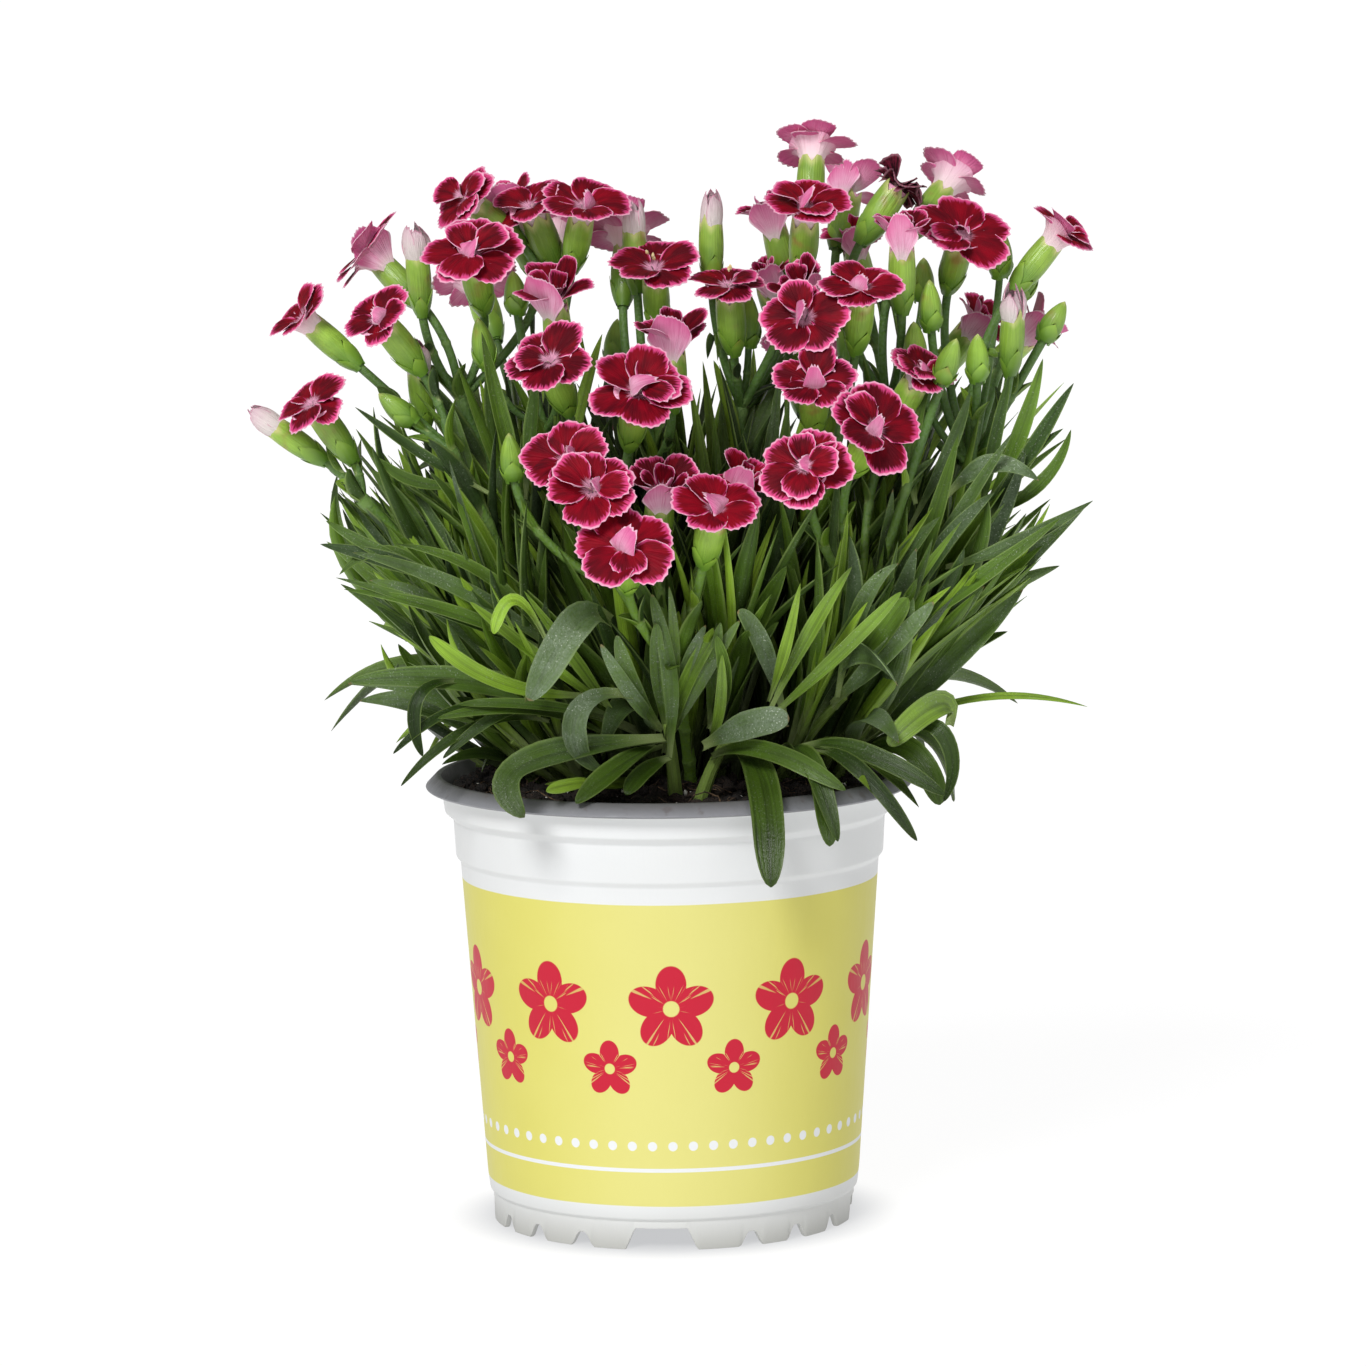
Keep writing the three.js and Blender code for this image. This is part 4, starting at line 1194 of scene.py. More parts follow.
# foot, first and last turn (0 straight up, 90 to the right), leaves, length, forward, width, tone, wax
FRONT_FANS = [
    ((0, -26, 121), -30, 28, 8, 36, 16, 3.6, 0.5, 0.7),
    ((10, -27, 122), -4, 14, 3, 27, 17, 3.4, 0.55, 0.3),
    ((23, -31, 126), 10, 38, 3, 43, 15, 3.5, 0.8, 0.2),
    ((40, -21, 129), 27, 42, 3, 38, 21, 5.0, 0.5, 0.5),
    ((53, -12, 143), 19, 50, 4, 57, 18, 4.4, 0.3, 0.3),
    ((60, -12, 173), 6, 20, 2, 42, 6, 4.0, 0.2, 0.2),
    ((76, -11, 170), 8, 44, 5, 40, 9, 3.8, 0.25, 0.2),
    ((-14, -24, 130), -62, -38, 3, 46, 20, 3.4, 0.68, 0.1),
    ((-24, -20, 140), -70, -46, 4, 61, 20, 4.0, 0.3, 0.3),
    ((-52, -22, 160), -78, -60, 3, 31, 9, 3.6, 0.2, 0.2),
    ((-43, -11, 181), -70, -54, 2, 34, 7, 3.2, 0.1, 0.1),
    ((-34, -16, 177), -11, -4, 2, 41, 3, 4.4, 0.4, 0.1),
]
FRONT_SINGLES = [  # foot, tip, arch, width, tone, wax
    ((-7, -8, 121), (-76, -34, 138), 12, 6.5, 0.35, 0.3),
    ((-14, -20, 126), (-50, -40, 133), 6, 2.8, 0.3, 0.1),
    ((-12, -18, 120), (-55, -42, 130), 7, 3.0, 0.35, 0.1),
    ((-26, -20, 128), (-54, -40, 120), 12, 3.0, 0.2, 0.1),
    ((-29, -20, 126), (-64, -44, 114), 13, 2.6, 0.2, 0.0),
    ((-36, -20, 129), (-66, -38, 121), 9, 2.4, 0.1, 0.0),
    ((-2, -26, 120), (-22, -56, 111), 6, 6.2, 0.3, 0.1),
    ((-16, -44, 114), (-29, -56, 114), 1, 3.6, 0.95, 0.1),
    ((0, -30, 118), (-10, -50, 112), 2, 4.2, 0.2, 0.0),
    ((32, -30, 120), (66, -50, 111), 10, 5.0, 0.2, 0.1),
    ((35, -34, 120), (59, -56, 101), 14, 4.0, 0.15, 0.1),
    ((27, -36, 120), (40, -62, 102), 17, 5.2, 0.25, 0.1),
    ((11, -30, 118), (42, -60, 114), 12, 4.6, 0.4, 0.1),
    ((28, -26, 128), (17, -44, 155), 9, 4.8, 0.3, 0.9),
    ((68, -18, 162), (103, -28, 179), -5, 4.4, 0.2, 0.3),
    ((68, -20, 180), (90, -28, 184), 11, 5.2, 0.2, 0.7),
]
FRONT_CURLS = [  # four points, width, tone, wax
    ((-7, -34, 133), (-21, -46, 134), (-24, -50, 125), (-15, -46, 117), 6.0, 0.25, 1.0),  # curled round
    ((-14, -26, 151), (-21, -40, 154), (-27, -48, 147), (-33, -50, 135), 8.5, 0.25, 1.0),  # arched
    ((-1, -28, 122), (-22, -46, 123), (-37, -56, 119), (-34, -64, 109), 8.0, 0.3, 0.4),  # folds over the rim
    ((9, -32, 121), (16, -42, 125), (23, -48, 128), (29, -50, 130), 6.8, 0.25, 1.0),  # oval
    ((68, -26, 125), (66, -34, 131), (59, -40, 128), (53, -42, 122), 6.5, 0.85, 0.4),  # bright, bent back
    ((56, -28, 121), (64, -38, 127), (69, -40, 120), (66, -40, 108), 4.2, 0.2, 0.1),  # curled at the right
    ((-48, -24, 136), (-58, -34, 136), (-61, -36, 129), (-59, -36, 120), 3.2, 0.1, 0.0),  # hangs at the left
    ((-29, -40, 148), (-35, -46, 158), (-39, -48, 157), (-41, -50, 151), 3.2, 0.8, 0.0),  # young, bent over
]


def fan_leaves(rng):
    """Each fan's leaves in the form of the single ones. Seen from the front, a tip lies at the fan's
    length from the foot, at the leaf's turn; it also comes forward."""
    made = []
    for foot, first, last, count, length, forward, width, tone, wax in FRONT_FANS:
        for turn in np.radians(np.linspace(first, last, count) + rng.normal(0, 4, count)):
            out = np.array([math.sin(turn), 0.0, math.cos(turn)])
            start = np.array(foot) + rng.uniform(-0.1, 0.15) * length * out - (0.0, rng.uniform(-2, 2), 0.0)
            tip = np.array(foot) + length * rng.uniform(0.75, 1.15) * out - (0.0, forward, 0.0)
            wide, lit = width * rng.uniform(0.8, 1.2), tone + rng.uniform(-0.2, 0.2)
            waxed = wax * rng.uniform(0.1, 1.5)
            made.append((start, tip, rng.normal(2, 4), wide, lit, waxed))
    return made


def make_front(seed):
    """Fans and single leaves first become four points on their bend, so that the curls can be treated
    alike."""
    rng = np.random.default_rng(seed)
    skin = Gather()
    curves = [(np.array(row[:4], float), *row[4:]) for row in FRONT_CURLS]
    for foot, tip, arch, *look in FRONT_SINGLES + fan_leaves(rng):
        foot, tip = np.array(foot, float), np.array(tip, float)
        aside = (rng.normal(0, 2.5), 0.0, 0.0)
        middle = foot + (tip - foot) * (0.5, 0.75, 0.5) + UP * arch + aside
        curves.append((bent(foot, middle, tip, np.linspace(0, 1, 4)), *look))
    for curve, width, tone, wax in curves:
        facing = direction(rng.normal(0, 18), rng.uniform(18, 42))
        shape = dict(cup=rng.uniform(0.4, 0.8), twist=rng.normal(0, 0.3), sway=rng.normal(0, 1.0))
        if curve[3][2] < BLUNT_BELOW:
            shape.update(taper=rng.uniform(0.22, 0.45), blunt=0.55, base=0.35)
        else:
            shape.update(taper=rng.uniform(0.45, 0.7), blunt=0.8, base=0.3)
        add_leaf(skin, curve, facing, width, rng, tone, min(wax, 1.0), size=FINE_LEAF, full=0.5, **shape)
    for foot, top in FRONT_CROWNS:
        add_stub(skin, partial(stalk_path, foot, top), CROWN_RADIUS, tone=0.8)
    print("front leaves:", len(curves))
    return skin.make("front_leaves", [LEAF], "leaf")


front_leaves = make_front(seed=95)
print("front leaves' quads:", len(front_leaves.data.polygons))

# %% [markdown]
# ## Stems, calyxes and buds
#
# The flowering stems are smooth and blue-green, with a swollen pale joint wherever leaves clasp them. On
# each branch sits a calyx, a green tube with five pointed teeth at its mouth and two pairs of small
# scales that hug its foot. A bud is the same tube with its teeth still shut. Tube and teeth come from
# one turned skin whose upper edge rises and falls five times round.

# %% Stem and calyx finishes
def stem_finish():
    """Blue-green, yellower low down, powdered with wax, and pale at the joints."""
    finish = Finish("stem", 0.5, Specular_IOR_Level=0.35)
    place = finish.place()
    pale = finish.mark("pale")
    green = finish.noise(place, 90.0, 3.0).blend(paint(66, 100, 38), paint(98, 134, 58))
    green = finish.split(place)[2].rise(0.2, 0.14).blend(green, paint(116, 154, 48))
    powder = finish.noise(place, 1300.0, 3.0).rise(0.35, 0.7)
    green = (powder * 0.3).blend(green, paint(120, 142, 112))
    green = (pale * 0.4).blend(green, paint(138, 168, 96))
    return finish.cover(green, powder * 0.2 + 0.4, powder, 0.0001)


def calyx_finish():
    """Yellow-green, paler towards the mouth, with fine ribs, darker patches and a brown flush above."""
    finish = Finish("calyx", 0.4, Coat_Weight=0.12, Specular_IOR_Level=0.5)
    place = finish.place()
    across, along = finish.chart()
    tone = finish.mark("pale")
    base = along.rise(0.0, 0.8).blend(paint(98, 142, 42), paint(150, 188, 66))
    base = base.scaled(tone * 0.5 + 0.66)
    lines = finish.streaks(across * 30.0, along * 2.0, tone * 40.0)
    base = base.scaled(lines * 0.4 + 0.8)
    patch = finish.noise(place, 160.0, 2.0).rise(0.4, 0.75)
    base = (patch * 0.45).blend(base, paint(82, 124, 38))
    flush = finish.noise(place, 150.0, 2.0).rise(0.58, 0.75) * along.rise(0.35, 0.9) * 0.7
    base = flush.blend(base, paint(158, 96, 62))
    base = (along.rise(0.84, 1.0) * 0.7).blend(base, paint(214, 214, 140))
    return finish.cover(base, lines * 0.2 + 0.3, lines, 0.00025)


STEM = stem_finish()
CALYX = calyx_finish()
print("stem and calyx finishes ready")

# %% Jointed stems
NO_BRANCH = (0.3, 0.9, 0.1)  # no branch runs this way, so its cross product with one lies across the branch


def jointed_tube(skin, path, radius, joints, across):
    """A stem that swells by a sixth at each joint, over about a fiftieth of its length."""
    t = np.linspace(0, 1, len(path))
    swell = sum(np.exp(-(((t - joint) / 0.02) ** 2)) for joint in joints)
    radii = radius * (1 + 0.17 * swell)
    skin.add(tube(path, radii, 10, across), 0.5, 0.5, pale=np.clip(swell, 0, 1)[:, None])


print("jointed stems ready")

# %% Calyxes, buds and their scales
def calyx_radius(t, radius):
    """Round at the foot, full from a third up, drawn in a little at the mouth."""
    return radius * (1 - 0.62 * (1 - t) ** 3.4 - 0.14 * t**4)


def bud_radius(t):
    """Round at the foot, fullest below the middle, drawn in to a narrow end."""
    return BUD_RADIUS * np.maximum(np.sin(np.pi * (0.08 + 0.92 * t) ** 0.9), 0.0) ** 0.62 * (1.0 - 0.22 * t)


def add_scales(skin, base, axis, radius_at, length, tone, rng):
    """Two pairs of pointed scales that hug the foot of a calyx or bud: patches of the same turned
    surface, a little outside it, narrowing to a tip."""
    turn = rng.uniform(0, np.pi)
    v = np.linspace(0, 1, 7)[:, None]
    u = np.linspace(-1, 1, 5)[None, :]
    tip = np.maximum(1 - v**2.2, 0.02)
    for pair, (low, tall) in enumerate([(-0.4, 0.42), (0.3, 0.55)]):
        for way in (0, np.pi):
            angle = turn + way + pair * np.pi / 2 + u * 0.95 * tip
            height = low + v * tall * length * (1 - 0.1 * np.abs(u))
            out = radius_at(np.clip(height / length, 0, 1)) + 0.12 + 0.2 * v**3
            ring = round_axis(axis, angle)
            rise = base + axis * height[..., None]
            outer = rise + ring * (out + 0.2 * tip)[..., None]
            inner = rise + ring * (out - 0.1)[..., None]
            grid = np.concatenate([outer, inner[:, ::-1]], axis=1)
            skin.add(grid, np.full(10, 0.5), 0.1 + 0.6 * v, finish=1, pale=tone)


def add_calyx(skin, flower, rng, radius):
    """Outside rows from foot to mouth, then back down inside: the mouth's edge rises to five teeth."""
    axis = direction(*flower[3:5])
    base = calyx_base(flower)
    points = 30
    fifth = np.arange(points) / points * 5 % 1
    tooth = (1 - np.abs(2 * fifth - 1)) ** 1.2 * CALYX_TOOTH
    t = np.linspace(0, 1, 11)[:, None]
    ribs = 1 + 0.02 * np.cos(2 * np.pi * fifth) * t
    outside = calyx_radius(t, radius) * ribs
    height = t * CALYX_LENGTH + tooth * np.clip((t - 0.7) / 0.3, 0, 1)
    back = [10, 8, 7]
    radii = np.concatenate([outside, outside[back] - [[0.25], [0.45], [0.5]]])
    heights = np.concatenate([height, height[back] - [[0.05], [0.2], [0.2]]])
    along = np.concatenate([t[:, 0], [1.0, 0.8, 0.6]])[:, None]
    tone = rng.uniform(0, 1)
    skin.add(turned(radii, heights, base, axis), mirrored_turn(points), along, finish=1, pale=tone)
    add_scales(skin, base, axis, lambda t: calyx_radius(t, radius), CALYX_LENGTH, tone, rng)


def add_bud(skin, bud, rng):
    """A shut calyx: a spindle with five shallow furrows that deepen to its point."""
    axis = direction(*bud[3:5])
    base = bud_base(bud)
    points = 20
    t = np.linspace(0, 1, 14)[:, None]
    radii = np.maximum(bud_radius(t), 0.06) * (1 - 0.05 * t * (1 + np.cos(5 * evenly(points))))
    tone = rng.uniform(0.3, 1)
    tall = BUD_LENGTH * rng.uniform(0.78, 0.95)
    grid = turned(radii, t * tall + 0 * radii, base, axis)
    skin.add(grid, mirrored_turn(points), t * 0.97, finish=1, pale=tone)
    length = 0.72 * BUD_LENGTH
    add_scales(skin, base, axis, lambda t: bud_radius(np.clip(t, 0.02, 0.6)), length, tone, rng)


print("calyxes, buds and scales ready")

# %% Flowering stems
def add_branch(skin, path, radius, joints, axis):
    """A thin stem along a path, ending along the axis of what it carries."""
    jointed_tube(skin, path(np.linspace(0, 1, 31)), radius, joints, np.cross(axis, NO_BRANCH))


def make_stem(number, stem):
    """A stem with its leaves, and from its fork a branch with a calyx or bud for all that it carries."""
    rng = np.random.default_rng(200 + number)
    root, fork = stem["root"], stem["fork"]
    stalk = partial(stalk_path, root, fork)
    skin, leaves = Gather(), Gather()
    lean = level_across(np.array(fork) - (*root, ROOT_HEIGHT))
    jointed_tube(skin, stalk(np.linspace(0, 1, 61)), STEM_RADIUS, STEM_JOINTS, lean)
    planned_leaves(leaves, stalk, stem["leaves"], 0.5, 0.8, TO_FRONT if root[1] < BEHIND else TO_BACK, rng)
    paired_leaves(leaves, stalk, "stem", rng)
    paired_leaves(leaves, stalk, "fork", rng)
    flowers = stem["open"] + stem["cups"] + stem["tufts"] + stem["faded"]
    ends = [(calyx_base(flower), flower) for flower in flowers]
    ends += [(bud_base(bud), bud) for bud in stem["buds"]]
    for base, carried in ends:
        axis = direction(*carried[3:5])
        branch = partial(branch_path, fork, base, axis)
        add_branch(skin, branch, BRANCH_RADIUS, (0.03, 0.5), axis)
        paired_leaves(leaves, branch, "branch", rng, skip=0.25)
    for flower in flowers:
        slim = 0.82 if flower in stem["tufts"] else rng.uniform(0.87, 1.02)
        add_calyx(skin, flower, rng, CALYX_RADIUS * slim)
    for bud in stem["buds"]:
        add_bud(skin, bud, rng)
    leaves.make(f"stem_leaves_{number:02d}", [LEAF], "leaf")
    return skin.make(f"stem_{number:02d}", [STEM, CALYX], "stem", [f"flowering_stem_{number:02d}"])


stems = [make_stem(k + 1, stem) for k, stem in enumerate(STEMS)]
print("stems:", sum(len(piece.data.polygons) for piece in stems), "quads")

# %% Late buds
LATE_BUDS = [  # fork of the stem, then the bud as in the plan
    ((75, 0, 185), (61, -12, 217, -10, 72)),
    ((75, 0, 185), (83, 2, 238, 20, 78)),
    ((55, 14, 200), (64, 8, 232, 10, 80)),
    ((19, 6, 200), (21, 2, 222, 5, 82)),
    ((-29, 3, 195), (-44, -8, 218, -30, 72)),
]
LATE_RADIUS = 0.9  # of their branches


def make_late_buds(seed):
    """Small buds that have no solid of their own, each on a thin branch from a stem's fork."""
    rng = np.random.default_rng(seed)
    skin = Gather()
    for fork, bud in LATE_BUDS:
        axis = direction(*bud[3:5])
        add_branch(skin, partial(branch_path, fork, bud_base(bud), axis), LATE_RADIUS, (0.5,), axis)
        add_bud(skin, bud, rng)
    return skin.make("late_buds", [STEM, CALYX], "stem")


late_buds = make_late_buds(seed=97)
print("late buds:", len(LATE_BUDS), "with", len(late_buds.data.polygons), "quads")

# %% [markdown]
# ## Petals
#
# A petal is a fan on a narrow claw. Its velvety face is crimson, darker inwards, with a toothed pale
# edge, a pink fringe that runs inwards in streaks, and a pale star of streaks at the throat. The back is
# plain pink, whiter at the claw. The pattern follows the petal's own edge, so each point of the mesh
# carries its distance to the edge, and the finish reads it. Flat cards with a painted edge would be
# quicker, but from the side a flower lives by its ruffles.

# %% Petal finishes
def petal_start(name, roughness, specular, fine, drawn):
    """A petal's finish, its chart and marks, and its streaks: `fine` of them across, `drawn` along."""
    finish = Finish(name, roughness, Specular_IOR_Level=specular)
    across, along = finish.chart()
    tone = finish.mark("tone")
    streaks = finish.streaks(across * fine, along * drawn, tone * 60.0, 3.0)
    return finish, across, along, finish.mark("edge"), tone, streaks


def petal_face():
    """Crimson, with a toothed fringe of pink streaks inside a thin pale edge, and a pale star at the
    throat."""
    finish, across, along, edge, tone, streaks = petal_start("petal_face", 0.6, 0.12, 34.0, 1.2)
    broad = finish.streaks(across * 6.0, along * 2.0, tone * 30.0)
    glow = (broad * 1.2 + tone * 0.4 - along * 0.1).rise(0.45, 1.1)
    colour = glow.blend(paint(84, 2, 18), paint(142, 4, 28))
    veins = finish.streaks(across * 44.0, along * 2.0, tone * 20.0).rise(0.58, 0.78)
    colour = (veins * 0.2).blend(colour, paint(180, 16, 50))
    reach = streaks.rise(0.3, 0.72) * 1.3 + 0.45 + broad * 0.5
    fringe = edge.rise(reach, reach * 0.35)
    colour = (fringe * 0.88).blend(colour, paint(232, 78, 142))
    line = edge.rise(0.5, 0.15)
    colour = (line * 0.8).blend(colour, paint(246, 188, 212))
    star = (along + (streaks - 0.5) * 0.5).rise(0.38, 0.2)
    colour = (star * 0.95).blend(colour, paint(244, 176, 206))
    return finish.cover(colour, streaks * 0.2 + 0.5, streaks, 0.0003)


def petal_back():
    """Dusty pink with fine veins, whiter towards the claw."""
    finish, _, along, edge, tone, streaks = petal_start("petal_back", 0.55, 0.2, 36.0, 1.5)
    cloud = finish.noise(finish.place(), 160.0, 2.0)
    outer = (along + (cloud - 0.5) * 0.6 + tone * 0.2).rise(0.35, 1.1)
    pink = outer.blend(paint(246, 186, 214), paint(224, 104, 160))
    pink = (streaks.rise(0.42, 0.7) * 0.5).blend(pink, paint(210, 88, 142))
    pink = (edge.rise(0.45, 0.15) * 0.7).blend(pink, paint(252, 218, 232))
    pink = along.rise(0.5, 0.16).blend(pink, paint(248, 226, 228))
    pink = along.rise(0.12, 0.02).blend(pink, paint(222, 226, 170))
    return finish.cover(pink, streaks * 0.2 + 0.42, streaks, 0.0003)


def petal_closed():
    """The first tip of a flower: greyish white, pinker at its edge."""
    finish, _, along, edge, _, streaks = petal_start("petal_pale", 0.55, 0.2, 30.0, 1.5)
    pale = (along + streaks * 0.5).rise(0.6, 1.3).blend(paint(232, 222, 218), paint(222, 190, 200))
    pale = (edge.rise(0.6, 0.1) * 0.6).blend(pale, paint(212, 122, 158))
    pale = along.rise(0.25, 0.05).blend(pale, paint(222, 226, 176))
    return finish.cover(pale, None, streaks, 0.0004)


def petal_faded():
    """Withered: brown-black crimson with the ghost of its pale edge."""
    finish, _, along, edge, _, streaks = petal_start("petal_faded", 0.7, 0.15, 20.0, 3.0)
    dark = streaks.rise(0.4, 0.65).blend(paint(46, 12, 22), paint(112, 26, 50))
    dark = (edge.rise(0.7, 0.1) * 0.7).blend(dark, paint(190, 128, 146))
    dark = along.rise(0.35, 0.1).blend(dark, paint(206, 160, 160))
    return finish.cover(dark, None, streaks, 0.0008)


FACE, BACK, PALE, FADED = petal_face(), petal_back(), petal_closed(), petal_faded()
ANTHER = grain_finish("anther", paint(214, 184, 120), paint(240, 226, 180), 0.8)
print("petal finishes ready")

# %% Petal shape
BROAD_PETAL = (9, 25)  # rows from claw to edge, points across
SMALL_PETAL = (9, 17)
PETAL_THICKNESS = 0.26
FUNNEL_POINTS = 30
FUNNEL = [(2.6, -2.5), (2.9, 0.0), (3.1, 1.6)]  # distance from the axis, height above the mouth
FUNNEL_FLARE = [(3.7, 3.0), (4.9, 4.2), (6.0, 4.7)]
FUNNEL_WALL = (0.3, -0.1)  # from the inner profile out to the outer one
THROAT_TOP = 4.6  # height of the throat above the mouth, where petals start to lie flat


def petal_grid(
    head, turn, side_view, half_angle, rng, size, ruffle, cup, lean=0.6, round_off=0.46, tongue=0
):
    """A fan about the flower's axis, or a tongue, which keeps to one side of it and is `tongue` mm wide.

    `head` is the middle of the calyx's mouth and the axis. `side_view` holds four points (distance from
    the axis, height above the mouth) of a cubic curve from the claw to the edge. s runs along it, u from
    -1 to 1 across. Towards the corners and at every second point of the edge the petal ends earlier on
    that curve: s x (1 - round_off x |u|^2.8 x s), less a random tooth. It turns by u x half_angle x w, w
    growing from 0.45 (a tongue: 0.2) at the claw to 1. Height gains lean x u, so that each petal lies
    over one neighbour and under the other, a ruffle, and cup x u^2, all growing with s^2.
    """
    mouth, axis = head
    first, second = square_to(axis)
    rows, columns = size
    s = (1 - (1 - np.linspace(0, 1, rows)) ** 1.35)[:, None]
    u = np.linspace(-1, 1, columns)[None, :]
    points = np.array(side_view, float)
    length = np.hypot(*(points[3] - points[1]))
    wavy = 0.015 * s * np.cos(3 * np.pi * u + rng.uniform(0, 6))
    reached = s * (1 - round_off * np.abs(u) ** 2.8 * s + wavy)
    reached[-1] -= rng.uniform(0.1, 0.42, columns) * (np.arange(columns) % 2) / length
    q, h = (
        (1 - reached) ** 3 * points[0, k] + 3 * reached * (1 - reached) ** 2 * points[1, k]
        + 3 * reached**2 * (1 - reached) * points[2, k] + reached**3 * points[3, k]
        for k in (0, 1)
    )
    claw, whole = (0.2, 0.9) if tongue else (0.45, 0.55)
    wide = claw + (1 - claw) * eased(s / whole)
    spread = half_angle * wide
    far = s**2
    phase, bends = rng.uniform(0, 2 * np.pi), rng.uniform(1.0, 1.7)
    h = h + far * (lean * u + ruffle * np.sin(bends * np.pi * u + phase) + cup * u**2)
    ring = round_axis(axis, turn + u * spread * (tongue == 0))
    aside = np.cos(turn) * second - np.sin(turn) * first
    face = mouth + q[..., None] * ring + h[..., None] * axis + (u * wide * tongue / 2)[..., None] * aside
    normal = unit(np.cross(np.gradient(face, axis=0), np.gradient(face, axis=1)))
    back = face - normal * (PETAL_THICKNESS * (1 - 0.55 * far))[..., None]
    inwards = (1 - np.abs(u)) * (tongue / 2 or spread * np.abs(q) * 2.2) + 6.0 * np.clip(0.5 - s, 0, 1)
    edge = np.minimum((1 - s) * length, inwards)
    grid = np.concatenate([face[:, ::-1], back], axis=1)
    across = np.concatenate([(1 + u[0, ::-1]) / 2, (1 + u[0]) / 2])
    return grid, across, s, np.concatenate([edge[:, ::-1], edge], axis=1)


def add_petal(skin, head, turn, side_view, half_angle, rng, tone, size=SMALL_PETAL, sides=(0, 1), **shape):
    """`sides` are the finishes of the face and the back."""
    grid, across, along, edge = petal_grid(head, turn, side_view, half_angle, rng, size, **shape)
    columns = size[1]
    finish = np.where(np.arange(2 * columns) < columns - 1, *sides)
    skin.add(grid, across, along, finish=finish, edge=edge, tone=tone)


def add_funnel(skin, head, tone, turns=(), elevations=()):
    """The claws side by side form a pale funnel from the calyx up to the petals: a thin turned wall,
    pinched five times round. Given the petals' turns and elevations it flares out close under them,
    higher and lower with them."""
    outside = FUNNEL + FUNNEL_FLARE if len(turns) else FUNNEL
    rings = len(outside)
    profile = np.concatenate([outside, np.array(outside[::-1]) - FUNNEL_WALL])
    a = evenly(FUNNEL_POINTS)
    radii = profile[:, :1] * (1 - 0.05 * (1 + np.cos(5 * a)))
    heights = profile[:, 1:] + 0 * radii
    if len(turns):
        close = np.exp(4 * np.cos(a[:, None] - np.array(turns)))
        slope = (close * np.sin(np.radians(elevations))).sum(1) / close.sum(1) - 0.03
        heights = heights + np.clip((heights - 1.6) / 2.6, 0, 1) * 0.92 * radii * slope
    along = np.concatenate([np.linspace(0.05, 0.45, rings), np.linspace(0.45, 0.05, rings)])[:, None]
    across = mirrored_turn(FUNNEL_POINTS)
    skin.add(turned(radii, heights, *head), across, along, finish=1, edge=5.0, tone=tone)


def flower_head(flower):
    """The middle of the calyx's mouth, and the flower's axis."""
    axis = direction(*flower[3:5])
    return np.array(flower[:3], float) - axis * THROAT, axis


def turn_to(axis, target):
    """The turn about the axis that points a petal towards a direction."""
    first, second = square_to(axis)
    return math.atan2(target @ second, target @ first)


for rows, points in (BROAD_PETAL, SMALL_PETAL):
    print("a petal of", rows, "x", points, "points has", len(skin_quads(rows, 2 * points)), "quads")

# %% [markdown]
# ## Open flowers
#
# Five broad petals lie round the throat, each over one neighbour. On them lie one to three smaller ones,
# and often one stands upright and shows its pink back. No two flowers are alike: turn, droop, ruffle and
# the inner petals are drawn from a random generator with a fixed start for each flower.

# %% Open flowers
FRONT = np.array([0.0, -1.0, 0.0])
AWAY_BELOW, ASIDE_BELOW = -0.1, 0.35  # how far an axis points to the front: away, or neither way


def add_anthers(skin, head, rng):
    """Two or three pale grains on the throat."""
    mouth, axis = head
    t = np.linspace(0, 1, 6)[:, None]
    radii = 0.42 * np.sin(np.pi * (0.08 + 0.84 * t)) * np.ones((1, 6))
    for _ in range(rng.integers(2, 4)):
        off = round_axis(axis, rng.uniform(0, 2 * np.pi)) * rng.uniform(0.5, 2.0)
        spot = mouth + axis * rng.uniform(5.5, 8.0) + off
        grain = turned(radii, 1.4 * t * np.ones((1, 6)), spot, unit(axis + rng.normal(0, 0.4, 3)))
        skin.add(grain, finish=2, edge=1.0, tone=0.5)


def raised(out, up, radius, elevation):
    """The side view of a petal that leaves the throat and lies at an elevation: 0 flat, 90 upright."""
    e = math.radians(elevation)
    end = np.array([out, up]) + (radius - out) * np.array([math.cos(e), math.sin(e)])
    knee = (out + 0.35 * (radius - out), up + 0.75 * (end[1] - up) + 0.9)
    return [(0.2, up - 1.3), (out * 0.75, up), knee, end]


def add_tongue(skin, head, turn, radius, rng):
    """An inner petal that rises from the near side of the throat, leans over it and shows its pink back."""
    tall = radius * rng.uniform(0.32, 0.6)
    lean = math.radians(rng.uniform(95, 160))
    end = np.array([1.4, THROAT_TOP]) + tall * np.array([math.cos(lean), math.sin(lean)])
    side_view = [(1.2, 1.6), (2.0, 4.4), (2.6, THROAT_TOP + 0.45 * tall), end]
    add_petal(
        skin, head, turn, side_view, 0.5, rng, rng.uniform(0, 0.3),
        ruffle=rng.uniform(0.4, 1.1), lean=rng.normal(0, 0.8), cup=rng.uniform(-1.2, 0.4),
        tongue=rng.uniform(4.0, 8.0), round_off=rng.uniform(0.45, 0.7),
    )


def add_erect(skin, head, turn, tall, wide, rng):
    """A broad petal that stands up from the calyx's edge and shows its whole pink back."""
    side_view = [(2.5, -2.5), (3.2, 1.0), (4.4, 0.6 * tall), (5.0 + rng.normal(0, 0.8), tall)]
    add_petal(
        skin, head, turn, side_view, 0.5, rng, rng.uniform(0, 0.4), size=BROAD_PETAL,
        ruffle=rng.uniform(0.2, 0.5), lean=rng.normal(0, 0.3), cup=rng.uniform(0.2, 0.8),
        tongue=wide, round_off=0.4,
    )


